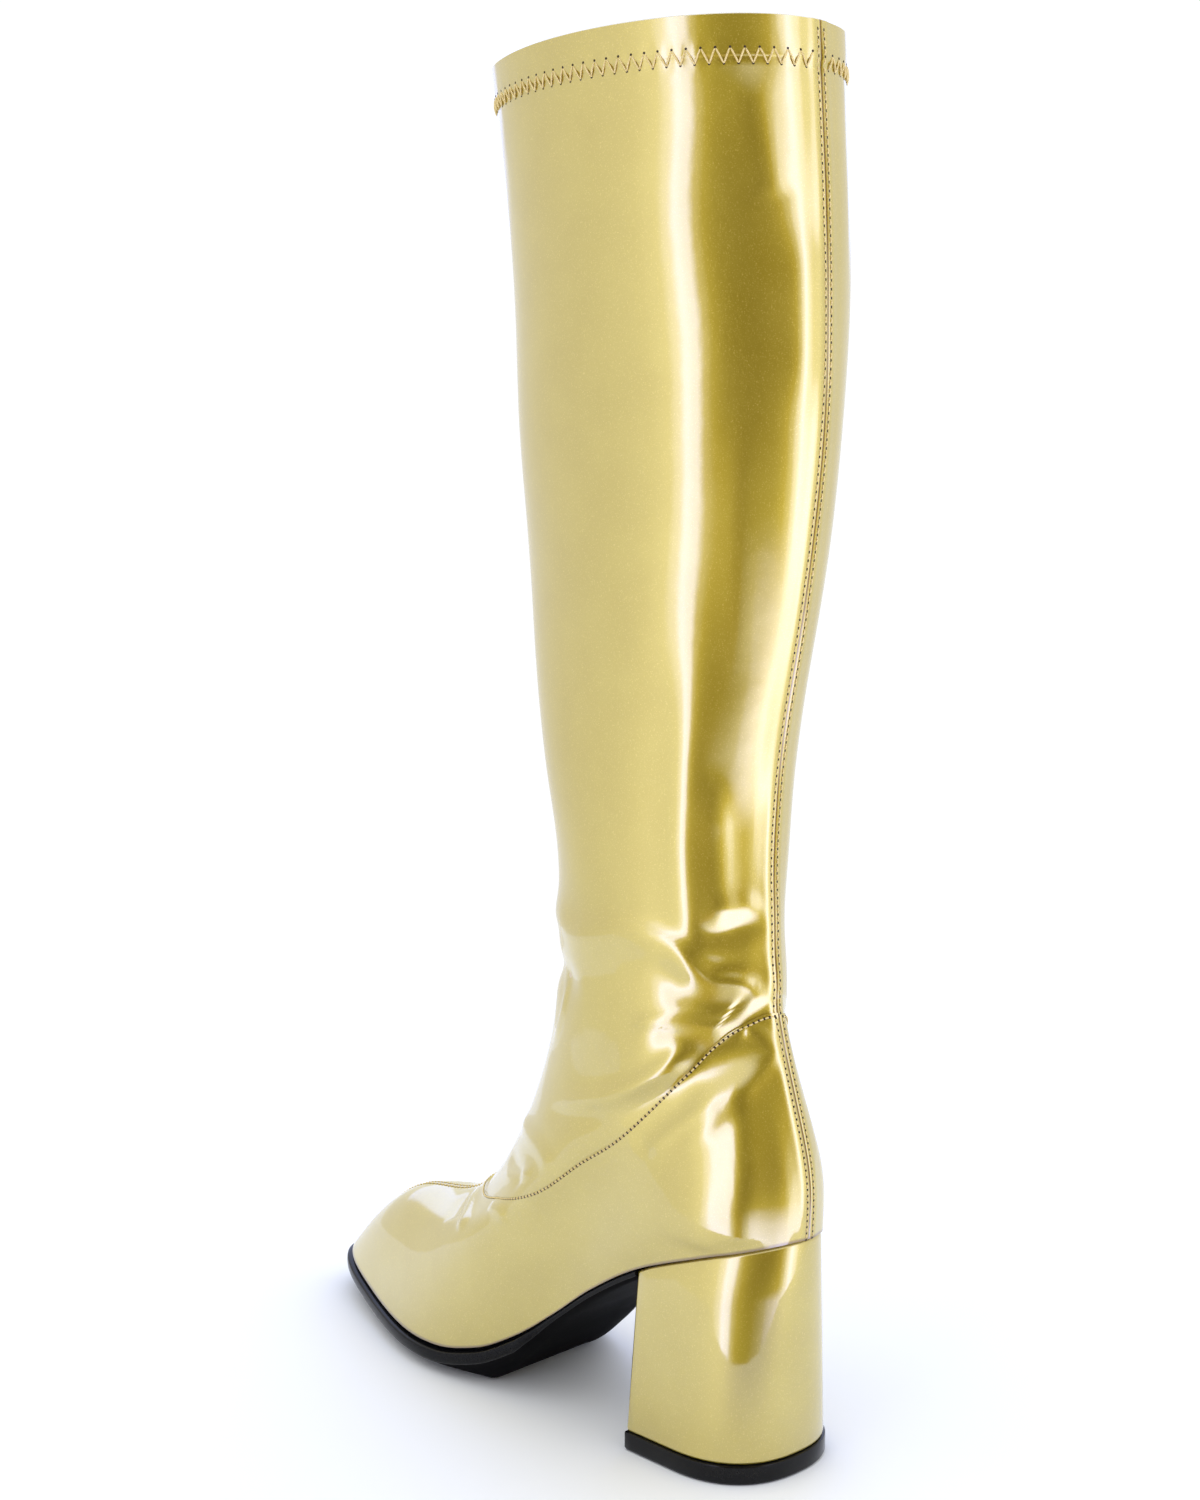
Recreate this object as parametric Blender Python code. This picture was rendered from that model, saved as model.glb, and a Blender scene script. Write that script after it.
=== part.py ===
"""A go go boot for the left foot: stretch patent shaft and foot, block heel, black sole.

Metres, +X to the inner side of the foot, +Y to the toe, +Z up. The origin is the
middle of the heel's ground face. The upper is one hollow shell, open at the collar
and underneath, made from level and slanted sections between its back and its front.
"""
import math

import bpy
import numpy as np

# Main sizes
BOOT_HEIGHT = 0.466         # floor to the top edge, at the back
SHAFT_DEPTH = 0.133         # top opening, back to front
SHAFT_WIDTH = 0.093         # top opening, side to side
ANKLE_HEIGHT = 0.196        # floor to the narrowest section, at the back
ANKLE_DEPTH = 0.090         # narrowest section, back to front
ANKLE_WIDTH = 0.066
FOOT_LENGTH = 0.250         # back of the heel to the toe, at the feather edge
BALL_WIDTH = 0.076
HEEL_HEIGHT = 0.081         # floor to the seat, at the back
SOLE_HEIGHT = 0.0095        # floor to the feather edge, under the ball
TOE_SPRING = 0.006

# Wall of the upper
WALL = 0.0016
LAP = 0.0006                # the foot panel stands this far over the shaft
HEM_HEIGHT = 0.0118
HEM_THICKNESS = 0.0006      # the folded hem stands this far out
SEAM_HALF_WIDTH = 0.0038    # raised strip along the back seam
SEAM_THICKNESS = 0.0005
SEAM_BEVEL = 0.0008

# Sole
SOLE_LEDGE = 0.0020         # the ledge stands this far past the foot
SOLE_EDGE = 0.0058          # depth of the sole's edge on the outer side
INNER_SOLE_EDGE = 0.0085
CROWN_WIDTH = 0.0130        # the bottom rises to its edge over this width
RAND_HEIGHT = 0.0013
RAND_INSET = 0.0008
WAIST_SOLE = 0.0040         # thickness of the sole at the heel breast
BALL_SOLE = 0.0150          # depth that the sole tapers to behind the ball
GROUND_BEVEL = 0.0010

# Heel
HEEL_DEPTH = 0.0500         # back of the heel to its breast, at the seat
GROUND_WIDTH = 0.0584       # the heel's foot, side to side
GROUND_DEPTH = 0.0518
GROUND_SETBACK = 0.0024     # back of the heel's foot, in from the back of the seat
GROUND_ROUNDNESS = 0.0306   # depth of the curved back of the heel's foot
HEEL_INSET = 0.0006         # the heel block lies this far inside the upper's edge
LIFT_HEIGHT = 0.0065
LIFT_LEDGE = 0.0005

# Inside
INSOLE_THICKNESS = 0.0020

GAP = 0.0003                # between pieces that meet

# Sections of the shaft and of the foot. Each row is one section. Columns: back is
# where it starts, as a share of the foot's length from the back of the heel; depth
# is its length to the front, as a share of the size named in its reach; back_rise
# and front_rise are heights of its ends, as shares of the shaft or of the foot; dip
# is how far it hangs between its ends, as a share of the foot's length; bottom says
# how much it follows the bottom of the foot. The last six are half widths, from the
# heel to the toe, as shares of half the size named in its width.
SHAFT_ROWS = (
    # name, reach, width, back, depth, back_rise, front_rise, dip, bottom, half widths
    ("collar", "shaft", "shaft", 0.002, 1.012, 1.000, 0.991, 0.0, 0.0,
     1.03, 1.01, 1.00, 1.00, 1.00, 1.00),
    ("upper_calf", "shaft", "shaft", -0.014, 0.986, 0.793, 0.793, 0.0, 0.0,
     0.93, 0.95, 0.97, 0.96, 0.96, 0.95),
    ("calf", "shaft", "shaft", -0.016, 0.970, 0.570, 0.570, 0.0, 0.0,
     0.83, 0.88, 0.91, 0.90, 0.89, 0.88),
    ("lower_calf", "shaft", "shaft", 0.014, 0.887, 0.337, 0.337, 0.0, 0.0,
     0.70, 0.75, 0.80, 0.79, 0.78, 0.77),
    ("shin", "ankle", "ankle", 0.055, 1.100, 0.133, 0.127, 0.0, 0.0,
     0.93, 0.97, 1.04, 1.08, 1.08, 1.06),
)
FOOT_ROWS = (
    ("ankle", "ankle", "ankle", 0.062, 1.030, 1.000, 0.967, 0.0, 0.0,
     0.72, 0.86, 0.98, 1.02, 0.97, 0.93),
    ("bend", "foot", "ball", 0.058, 0.397, 0.791, 0.673, -0.028, 0.0,
     0.58, 0.74, 0.86, 0.85, 0.78, 0.73),
    ("instep", "foot", "ball", 0.055, 0.466, 0.696, 0.457, -0.052, 0.0,
     0.60, 0.80, 0.90, 0.84, 0.77, 0.72),
    ("seam", "foot", "ball", 0.053, 0.597, 0.617, 0.255, -0.069, 0.05,
     0.64, 0.86, 0.91, 0.88, 0.82, 0.75),
    ("vamp", "foot", "ball", 0.030, 0.727, 0.435, 0.204, -0.067, 0.28,
     0.80, 0.98, 0.82, 0.95, 0.90, 0.88),
    ("toe_box", "foot", "ball", 0.003, 0.836, 0.235, 0.177, -0.067, 0.55,
     1.02, 1.10, 0.75, 1.00, 0.92, 0.93),
    ("toe_cap", "foot", "ball", -0.004, 0.932, 0.104, 0.094, -0.067, 0.82,
     1.14, 1.13, 0.70, 1.03, 0.93, 0.92),
    ("feather", "foot", "ball", -0.002, 1.002, 0.0, 0.0, -0.067, 1.0,
     1.22, 1.08, 0.66, 1.03, 0.88, 0.83),
)
ROWS = SHAFT_ROWS + FOOT_ROWS
SEAM_ROW = len(SHAFT_ROWS) + 3
LAST_ROW = len(ROWS) - 1
WIDTH_STATIONS = (0.0, 0.12, 0.36, 0.64, 0.85, 1.0)

# Bottom of the foot from the heel to the toe: share of the length, share of the
# heel's height above the ball, share of the toe spring.
BOTTOM_LINE = (
    (0.00, 1.000, 0.00),
    (0.10, 0.900, 0.00),
    (0.195, 0.776, 0.00),
    (0.30, 0.565, 0.00),
    (0.38, 0.360, 0.00),
    (0.45, 0.190, 0.00),
    (0.52, 0.070, 0.00),
    (0.60, 0.010, 0.00),
    (0.68, 0.000, 0.05),
    (0.80, 0.000, 0.22),
    (0.90, 0.000, 0.55),
    (1.00, 0.000, 1.00),
)
# Middle line of the foot seen from above: share of the length, share of half the
# ball's width towards the inner side.
CURVE_LINE = (
    (0.00, 0.00),
    (0.18, 0.00),
    (0.34, -0.05),
    (0.50, 0.01),
    (0.62, 0.09),
    (0.80, 0.15),
    (1.00, 0.20),
)
CURVE_FADE_TOP = 0.150      # the shaft above this height has no curve to the side
CURVE_FADE_DEPTH = 0.080
ARCH_START_SHARE = 0.365    # where the sole starts to thicken, along the foot
ARCH_END_SHARE = 0.52
LEDGE_START_SHARE = 0.412   # the ledge of the sole starts here
LEDGE_FULL_SHARE = 0.435
CROWN_START_SHARE = 0.20    # the crown of the bottom widens from here, along the foot
CROWN_FULL_SHARE = 0.45
CROWN_TOE_SHARE = 0.75      # and narrows again from here to the toe
WAIST_CROWN_RATIO = 0.25    # its width at the waist and at the toe, against the ball's
TOE_CROWN_RATIO = 0.45
EDGE_FULL_RATIO = 0.6       # most of the sole's thickness that its edge takes

# Fineness of the surfaces
RING_POINTS = 65            # odd, so that the toe has an edge across it
SIDE_CROWDING_RATIO = 0.3   # points crowd towards the long sides of a ring by this
SHAFT_RINGS = 12
INSIDE_REACH = 1.0          # rows up the wall that are searched for the insole's edge
INSIDE_STEPS = 41
EDGE_MARGIN_ANGLE = 0.03    # least angle from a breast corner to the next point

HEEL_BACK = -(GROUND_SETBACK + GROUND_DEPTH / 2)   # back of the foot's length, on Y
TAU = 2 * math.pi


def smooth_through(places, values, at):
    """Natural cubic curve through a table's rows."""
    places = np.asarray(places, float)
    values = np.asarray(values, float)
    flat = values.ndim == 1
    if flat:
        values = values[:, None]
    count = len(places)
    step = np.diff(places)
    slope = np.diff(values, axis=0) / step[:, None]
    matrix = np.eye(count)
    right = np.zeros_like(values)
    for i in range(1, count - 1):
        matrix[i, i - 1] = step[i - 1]
        matrix[i, i] = 2 * (step[i - 1] + step[i])
        matrix[i, i + 1] = step[i]
        right[i] = 6 * (slope[i] - slope[i - 1])
    bend = np.linalg.solve(matrix, right)
    at = np.asarray(at, float)
    i = np.clip(np.searchsorted(places, at) - 1, 0, count - 2)
    along = (at - places[i])[..., None]
    h = step[i][..., None]
    result = (values[i]
              + along * (slope[i] - h * (2 * bend[i] + bend[i + 1]) / 6)
              + along ** 2 * bend[i] / 2
              + along ** 3 * (bend[i + 1] - bend[i]) / (6 * h))
    return result[..., 0] if flat else result


def even_through(places, values, at):
    """Curve through a table's rows that never swings past a row's value."""
    places = np.asarray(places, float)
    values = np.asarray(values, float)
    step = np.diff(places)
    slope = np.diff(values) / step
    tangent = np.zeros(len(places))
    tangent[0] = slope[0]
    tangent[-1] = slope[-1]
    for i in range(1, len(places) - 1):
        if slope[i - 1] * slope[i] > 0:
            tangent[i] = 2 * slope[i - 1] * slope[i] / (slope[i - 1] + slope[i])
    i = np.clip(np.searchsorted(places, at) - 1, 0, len(places) - 2)
    t = (np.asarray(at, float) - places[i]) / step[i]
    return ((2 * t ** 3 - 3 * t ** 2 + 1) * values[i]
            + (t ** 3 - 2 * t ** 2 + t) * step[i] * tangent[i]
            + (3 * t ** 2 - 2 * t ** 3) * values[i + 1]
            + (t ** 3 - t ** 2) * step[i] * tangent[i + 1])


def ease(t):
    t = np.clip(t, 0, 1)
    return t * t * (3 - 2 * t)


def spring_height(share):
    """Height of the sole's ground face under a share of the foot's length."""
    table = np.array(BOTTOM_LINE)
    return TOE_SPRING * even_through(table[:, 0], table[:, 2], np.clip(share, 0, 1))


def feather_height(share):
    """Height of the edge where upper and sole meet."""
    table = np.array(BOTTOM_LINE)
    rise = even_through(table[:, 0], table[:, 1], np.clip(share, 0, 1))
    return SOLE_HEIGHT + (HEEL_HEIGHT - SOLE_HEIGHT) * rise + spring_height(share)


def row_sizes():
    """The table of sections in metres: back, front, heights, dip, widths."""
    reach = {"shaft": SHAFT_DEPTH, "ankle": ANKLE_DEPTH, "foot": FOOT_LENGTH}
    width = {"shaft": SHAFT_WIDTH / 2, "ankle": ANKLE_WIDTH / 2, "ball": BALL_WIDTH / 2}
    toe_height = float(feather_height(1.0))
    sizes = []
    for row in ROWS:
        reach_name, width_name = row[1:3]
        back, depth, back_rise, front_rise, dip, bottom = row[3:9]
        y_back = back * FOOT_LENGTH
        y_front = y_back + depth * reach[reach_name]
        if row in SHAFT_ROWS:
            z_back = ANKLE_HEIGHT + back_rise * (BOOT_HEIGHT - ANKLE_HEIGHT)
            z_front = ANKLE_HEIGHT + front_rise * (BOOT_HEIGHT - ANKLE_HEIGHT)
        else:
            z_back = HEEL_HEIGHT + back_rise * (ANKLE_HEIGHT - HEEL_HEIGHT)
            z_front = toe_height + front_rise * (ANKLE_HEIGHT - toe_height)
        widths = [share * width[width_name] for share in row[9:]]
        sizes.append([y_back, z_back, y_front, z_front, dip * FOOT_LENGTH, bottom] + widths)
    return np.array(sizes)


def rows_at(row_places):
    """Sizes of the sections at fractional places in the table."""
    sizes = row_sizes()
    back_steps = np.hypot(*np.diff(sizes[:, 0:2], axis=0).T)
    front_steps = np.hypot(*np.diff(sizes[:, 2:4], axis=0).T)
    travel = np.concatenate([[0], np.cumsum((back_steps + front_steps) / 2)])
    places = np.interp(row_places, np.arange(len(sizes)), travel)
    return smooth_through(travel, sizes, places)


def base_surface(row_places, angles):
    """Outer form of the shaft and foot. Angle 0 is the back, pi the front."""
    sizes = rows_at(np.asarray(row_places, float))
    y_back, z_back, y_front, z_front, dip, bottom = [sizes[:, i][:, None] for i in range(6)]
    angles = np.atleast_2d(np.asarray(angles, float))
    share = (1 - np.cos(angles)) / 2
    y = y_back + (y_front - y_back) * share
    middle = 4 * share * (1 - share)
    hang = middle * (1 + 0.5 * (1 - middle))
    straight = feather_height(0) + (feather_height(1) - feather_height(0)) * share
    z = (z_back + (z_front - z_back) * share + (1 - bottom) * dip * hang
         + bottom * (feather_height(share) - straight))
    half = np.zeros(np.broadcast(y, share).shape)
    shares = np.broadcast_to(share, half.shape)
    for i, widths in enumerate(sizes[:, 6:12]):
        half[i] = smooth_through(WIDTH_STATIONS, widths, shares[i])
    curve = np.array(CURVE_LINE)
    side = smooth_through(curve[:, 0], curve[:, 1], np.clip(y / FOOT_LENGTH, 0, 1))
    fade = ease((CURVE_FADE_TOP - z) / CURVE_FADE_DEPTH)
    x = side * BALL_WIDTH / 2 * fade - half * np.sin(angles)
    return np.stack([x, y + HEEL_BACK, z], -1)


def outer_surface(row_places, angles, offset):
    """The base form moved out along its normals, or in where the offset is negative."""
    row_places = np.asarray(row_places, float)
    angles = np.broadcast_to(np.atleast_2d(angles), (len(row_places), np.shape(angles)[-1]))
    small = 0.01
    low = np.clip(row_places - small, 0, LAST_ROW)
    high = np.clip(row_places + small, 0, LAST_ROW)
    along = base_surface(high, angles) - base_surface(low, angles)
    around = base_surface(row_places, angles + small) - base_surface(row_places, angles - small)
    normal = np.cross(around, along)
    normal /= np.linalg.norm(normal, axis=-1, keepdims=True)
    return base_surface(row_places, angles) + normal * np.asarray(offset)[..., None]


def ring_angles(row_places):
    """Angles of a ring's points: two lines each side bound the raised back seam."""
    half_width = rows_at(row_places)[:, 6]
    edge = np.arcsin(SEAM_HALF_WIDTH / half_width)
    outside = np.arcsin((SEAM_HALF_WIDTH + SEAM_BEVEL) / half_width)
    free = RING_POINTS - 4
    angles = np.zeros((len(half_width), RING_POINTS))
    angles[:, 1] = edge
    for i in range(free + 1):
        even = outside + (TAU - 2 * outside) * i / free
        near_seam = min(1, 8 * i / free, 8 * (free - i) / free)
        crowded = np.sin(2 * even) * SIDE_CROWDING_RATIO / 2 * near_seam
        angles[:, 2 + i] = even + crowded
    angles[:, -1] = TAU - edge
    return angles


def ring_rows():
    """Places of the rings: collar, hem edge, shaft, seam, foot."""
    collar_step = row_sizes()[0, 1] - row_sizes()[1, 1]
    hem_row = HEM_HEIGHT / collar_step
    bevel_row = (HEM_HEIGHT + HEM_THICKNESS) / collar_step
    shaft = list(np.linspace(bevel_row, len(SHAFT_ROWS), SHAFT_RINGS + 1))[1:]
    bend = [len(SHAFT_ROWS) + step for step in (0.5, 1.0, 1.5, 2.0, 2.5)]
    foot = [SEAM_ROW + step for step in (0.25, 0.5, 0.8, 1.15, 1.5, 1.9, 2.3, 2.7, 3.1, 3.5, 3.8, 4.0)]
    return hem_row, bevel_row, shaft + bend, foot


def new_object(name, points, faces, material):
    mesh = bpy.data.meshes.new(name)
    mesh.from_pydata([tuple(map(float, point)) for point in points], [], faces)
    mesh.update()
    mesh.materials.append(material)
    mesh.shade_smooth()
    mesh.set_sharp_from_angle(angle=math.radians(35))
    item = bpy.data.objects.new(name, mesh)
    bpy.context.scene.collection.objects.link(item)
    return item


def material(name, colour, roughness, metallic):
    made = bpy.data.materials.new(name)
    made.use_nodes = True
    shader = made.node_tree.nodes["Principled BSDF"]
    shader.inputs["Base Color"].default_value = (*colour, 1.0)
    shader.inputs["Roughness"].default_value = roughness
    shader.inputs["Metallic"].default_value = metallic
    return made


def stacked_solid(name, rings, finish):
    """A closed solid from rings of an even count, capped from side to side."""
    count = len(rings[0])
    points = [point for ring in rings for point in ring]
    faces = []
    for layer in range(len(rings) - 1):
        for i in range(count):
            a = layer * count + i
            b = layer * count + (i + 1) % count
            faces.append((a, b, b + count, a + count))
    last = (len(rings) - 1) * count
    for i in range(count // 2 - 1):
        far = count - 1 - i
        faces.append((i + 1, i, far, far - 1))
        faces.append((last + i, last + i + 1, last + far - 1, last + far))
    return new_object(name, points, faces, finish)


def make_upper(finish):
    """One hollow shell: collar, hem, shaft, lapped foot panel, and its inner wall."""
    hem_row, bevel_row, shaft, foot = ring_rows()
    outer = [(0.0, HEM_THICKNESS), (hem_row, HEM_THICKNESS), (bevel_row, 0.0)]
    outer += [(row, 0.0) for row in shaft]
    outer += [(SEAM_ROW, 0.0), (SEAM_ROW, LAP)]
    outer += [(row, LAP) for row in foot]
    inner = [(row, -WALL) for row in [0.0] + shaft + [SEAM_ROW] + foot]
    rows = np.array([row for row, offset in outer])
    offsets = np.array([offset for row, offset in outer])[:, None] * np.ones(RING_POINTS)
    for column in (-1, 0, 1):
        offsets[:, column] += SEAM_THICKNESS
    outer_points = outer_surface(rows, ring_angles(rows), offsets)
    rows = np.array([row for row, offset in inner])[::-1]
    offsets = np.full((len(rows), RING_POINTS), -WALL)
    inner_points = outer_surface(rows, ring_angles(rows), offsets)
    seat = feather_height((1 - np.cos(ring_angles([LAST_ROW])[0])) / 2)
    outer_points[-1, :, 2] = seat
    inner_points[0, :, 2] = seat
    inner_points[-1, :, 2] = outer_points[0, :, 2]
    rings = np.concatenate([outer_points, inner_points])
    total = len(rings)
    faces = []
    for layer in range(total):
        below = (layer + 1) % total
        for i in range(RING_POINTS):
            j = (i + 1) % RING_POINTS
            faces.append((layer * RING_POINTS + i, layer * RING_POINTS + j,
                          below * RING_POINTS + j, below * RING_POINTS + i))
    return new_object("upper", rings.reshape(-1, 3), faces, finish)


def inside_outline(angles, rise):
    """Points just inside the inner wall, at a height above the feather edge."""
    rows = np.linspace(LAST_ROW - INSIDE_REACH, LAST_ROW, INSIDE_STEPS)
    offsets = np.full((len(rows), len(angles)), -WALL - 2 * GAP)
    wall = outer_surface(rows, angles, offsets)[::-1]
    height = feather_height((1 - np.cos(angles)) / 2) + rise
    outline = np.empty((len(angles), 3))
    for i, target in enumerate(height):
        for axis in (0, 1):
            outline[i, axis] = np.interp(target, wall[:, i, 2], wall[:, i, axis])
    outline[:, 2] = height
    return outline


def make_insole(finish):
    """A board inside the shell, whose edge follows the inner wall."""
    angles = ring_angles([LAST_ROW])[0, 1:]
    rings = [inside_outline(angles, rise) for rise in (INSOLE_THICKNESS, 0.0)]
    return stacked_solid("insole", rings, finish)


def foot_outline(angles, offset):
    """Points on the feather edge, moved out in plan by an offset."""
    edge = outer_surface([LAST_ROW], angles, np.full((1, len(angles)), 0.0))[0]
    ahead = base_surface([LAST_ROW], angles + 0.01)[0] - base_surface([LAST_ROW], angles - 0.01)[0]
    out = np.stack([-ahead[:, 1], ahead[:, 0]], -1)
    out /= np.linalg.norm(out, axis=-1, keepdims=True)
    edge[:, :2] += out * (np.asarray(offset) + LAP)[..., None]
    return edge


def breast_at(height):
    """Y of the heel's front face at a height: it leans forward to the ground."""
    seat_height = float(feather_height(HEEL_DEPTH / FOOT_LENGTH))
    ground_front = GROUND_SETBACK + GROUND_DEPTH
    down = (seat_height - height) / (seat_height - LIFT_HEIGHT)
    return HEEL_BACK + HEEL_DEPTH + (ground_front - HEEL_DEPTH) * down


def edge_angles(y_start, to_back=False):
    """The shell's own points along both sides, from a place on Y to the toe or the back."""
    start = math.acos(1 - 2 * (y_start - HEEL_BACK) / FOOT_LENGTH)
    side = ring_angles([LAST_ROW])[0, 1:RING_POINTS // 2 + 1]
    if to_back:
        behind = side[side < start - EDGE_MARGIN_ANGLE][::-1]
        behind = np.concatenate([[start], behind])
        return np.concatenate([TAU - behind, behind[::-1]])
    ahead = np.concatenate([[start], side[side > start + EDGE_MARGIN_ANGLE]])
    return np.concatenate([ahead, TAU - ahead[::-1]])


def edge_depth(angles, full):
    """Depth of the sole's edge, which is deeper on the inner side of the foot."""
    inner = ease(-np.sin(angles) * 1.5)
    depth = SOLE_EDGE + (INNER_SOLE_EDGE - SOLE_EDGE) * inner
    return np.minimum(depth, full * EDGE_FULL_RATIO)


def crown_width(share):
    """Width over which the sole's bottom curves up to its edge."""
    past_waist = ease((share - CROWN_START_SHARE) / (CROWN_FULL_SHARE - CROWN_START_SHARE))
    to_toe = ease((share - CROWN_TOE_SHARE) / (1 - CROWN_TOE_SHARE))
    waist_ratio = WAIST_CROWN_RATIO + (1 - WAIST_CROWN_RATIO) * past_waist
    return CROWN_WIDTH * waist_ratio * (1 - (1 - TOE_CROWN_RATIO) * to_toe)


def make_outsole(finish):
    """Rand, ledge and crowned tread of the sole, from the heel breast to the toe."""
    breast_height = float(feather_height(HEEL_DEPTH / FOOT_LENGTH)) - WAIST_SOLE
    start = float(breast_at(breast_height)) + GAP
    angles = edge_angles(start)
    share = (1 - np.cos(angles)) / 2
    top = feather_height(share) - GAP
    along_arch = (share - ARCH_START_SHARE) / (ARCH_END_SHARE - ARCH_START_SHARE)
    tapered = WAIST_SOLE + (BALL_SOLE - WAIST_SOLE) * ease(along_arch)
    ground = np.maximum(spring_height(share), feather_height(share) - tapered)
    ground[(share > ARCH_END_SHARE) & (share < BOTTOM_LINE[7][0])] = 0.0
    past_start = (share - LEDGE_START_SHARE) / (LEDGE_FULL_SHARE - LEDGE_START_SHARE)
    ledge = SOLE_LEDGE * ease(past_start)
    edge = edge_depth(angles, top - ground)
    low = top - edge
    rand = top - edge * RAND_HEIGHT / SOLE_EDGE
    bevel = np.minimum(GROUND_BEVEL, edge / 3)
    crown = crown_width(share)
    layers = (
        (0 * share, top),
        (0 * share - RAND_INSET, rand + edge / 20),
        (ledge - RAND_INSET / 4, rand),
        (ledge, rand - edge / 10),
        (ledge, low + bevel),
        (ledge - bevel, low),
        (ledge - crown / 2, ground + (low - ground) / 4),
        (ledge - crown, ground),
    )
    rings = []
    for offset, height in layers:
        ring = foot_outline(angles, offset)
        ring[:, 2] = height
        ring[0, 1] = start
        ring[-1, 1] = start
        rings.append(ring)
    return stacked_solid("outsole", rings, finish)


def ground_outline(angles, ledge):
    """The heel's foot: a flat front and a rounded back."""
    half_width = GROUND_WIDTH / 2 + ledge
    back = HEEL_BACK + GROUND_SETBACK - ledge
    depth = GROUND_DEPTH + 2 * ledge
    power = 2 / 2.35
    count = len(angles) // 2
    turns = math.ceil(count * 0.7)
    points = []
    for i in range(count):
        if i < count - turns:
            along = i / (count - turns)
            y = back + depth - (depth - GROUND_ROUNDNESS) * along
            points.append((half_width, y))
        else:
            turn = math.pi / 2 * (1 - (i - count + turns) / (turns - 0.5))
            x = half_width * math.sin(turn) ** power
            y = back + GROUND_ROUNDNESS * (1 - math.cos(turn) ** power)
            points.append((x, y))
    mirrored = [(-x, y) for x, y in reversed(points)]
    return np.array([(x, y, 0.0) for x, y in points + mirrored])


def make_heel(finish):
    """The block between the seat and the lift."""
    seat_height = float(feather_height(HEEL_DEPTH / FOOT_LENGTH))
    angles = edge_angles(float(breast_at(seat_height)), to_back=True)
    seat = foot_outline(angles, np.full(len(angles), -HEEL_INSET))
    seat[0, 1] = breast_at(seat_height)
    seat[-1, 1] = breast_at(seat_height)
    seat[:, 2] -= GAP
    ground = ground_outline(angles, 0.0)
    ground[:, 2] = LIFT_HEIGHT + GAP
    rings = [seat + (ground - seat) * step for step in (0.0, 0.25, 0.5, 0.75, 1.0)]
    return stacked_solid("heel_block", rings, finish)


def make_lift(finish):
    """The black lift that the heel stands on."""
    angles = edge_angles(float(breast_at(LIFT_HEIGHT)), to_back=True)
    rings = []
    layers = (
        (LIFT_LEDGE - GROUND_BEVEL / 2, LIFT_HEIGHT),
        (LIFT_LEDGE, LIFT_HEIGHT - GROUND_BEVEL / 2),
        (LIFT_LEDGE, GROUND_BEVEL),
        (LIFT_LEDGE - GROUND_BEVEL, 0.0),
    )
    for ledge, height in layers:
        ring = ground_outline(angles, ledge)
        ring[:, 2] = height
        rings.append(ring)
    return stacked_solid("top_lift", rings, finish)


def main():
    for item in list(bpy.data.objects):
        bpy.data.objects.remove(item, do_unlink=True)
    gold = material("gold_patent", (0.62, 0.50, 0.20), 0.22, 0.8)
    heel_gold = material("gold_heel_cover", (0.62, 0.50, 0.20), 0.2, 0.8)
    black = material("black_sole", (0.012, 0.012, 0.013), 0.3, 0.0)
    lining = material("insole_cloth", (0.45, 0.40, 0.28), 0.7, 0.0)
    make_upper(gold)
    make_insole(lining)
    make_outsole(black)
    make_heel(heel_gold)
    make_lift(black)


main()
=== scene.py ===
"""Looks of the go go boot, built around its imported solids.

Metres, in the part's own frame: +X to the inner side of the left foot, +Y to the toe,
+Z up. The shoe's surface is worked out again from the part's own sections, finer than
the solids, and then gets its creases, seams, stitches and finishes.
"""
import math

import bpy
import numpy as np
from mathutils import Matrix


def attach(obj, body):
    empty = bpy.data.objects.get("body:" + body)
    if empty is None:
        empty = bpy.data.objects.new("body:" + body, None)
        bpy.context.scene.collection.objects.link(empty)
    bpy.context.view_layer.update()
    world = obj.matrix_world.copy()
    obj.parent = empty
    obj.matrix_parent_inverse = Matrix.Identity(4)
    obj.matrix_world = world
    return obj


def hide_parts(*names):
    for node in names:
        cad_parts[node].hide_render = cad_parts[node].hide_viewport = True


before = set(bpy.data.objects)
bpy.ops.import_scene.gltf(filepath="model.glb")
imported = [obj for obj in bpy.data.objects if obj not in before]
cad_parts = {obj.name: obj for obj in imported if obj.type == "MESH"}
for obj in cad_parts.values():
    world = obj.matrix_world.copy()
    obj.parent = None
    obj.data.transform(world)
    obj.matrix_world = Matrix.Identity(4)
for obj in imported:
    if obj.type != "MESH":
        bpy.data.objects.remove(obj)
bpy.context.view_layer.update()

# Main sizes, as in the part
BOOT_HEIGHT = 0.466
SHAFT_DEPTH = 0.133
SHAFT_WIDTH = 0.093
ANKLE_HEIGHT = 0.196
ANKLE_DEPTH = 0.090
ANKLE_WIDTH = 0.066
FOOT_LENGTH = 0.250
BALL_WIDTH = 0.076
HEEL_HEIGHT = 0.081
SOLE_HEIGHT = 0.0095
TOE_SPRING = 0.006
WALL = 0.0016
LAP = 0.0006
HEM_HEIGHT = 0.0118
HEM_THICKNESS = 0.0006
SEAM_HALF_WIDTH = 0.0038
SEAM_THICKNESS = 0.0005
SOLE_LEDGE = 0.0020
SOLE_EDGE = 0.0058
INNER_SOLE_EDGE = 0.0085
CROWN_WIDTH = 0.0130
RAND_HEIGHT = 0.0013
RAND_INSET = 0.0008
WAIST_SOLE = 0.0040
BALL_SOLE = 0.0150
GROUND_BEVEL = 0.0010
HEEL_DEPTH = 0.0500
GROUND_WIDTH = 0.0584
GROUND_DEPTH = 0.0518
GROUND_SETBACK = 0.0024
GROUND_ROUNDNESS = 0.0306
HEEL_INSET = 0.0006
LIFT_HEIGHT = 0.0065
LIFT_LEDGE = 0.0005
GAP = 0.0003
MM = 0.001  # a millimetre
FAR = 1.0  # the distance of a seam that isn't near

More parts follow.
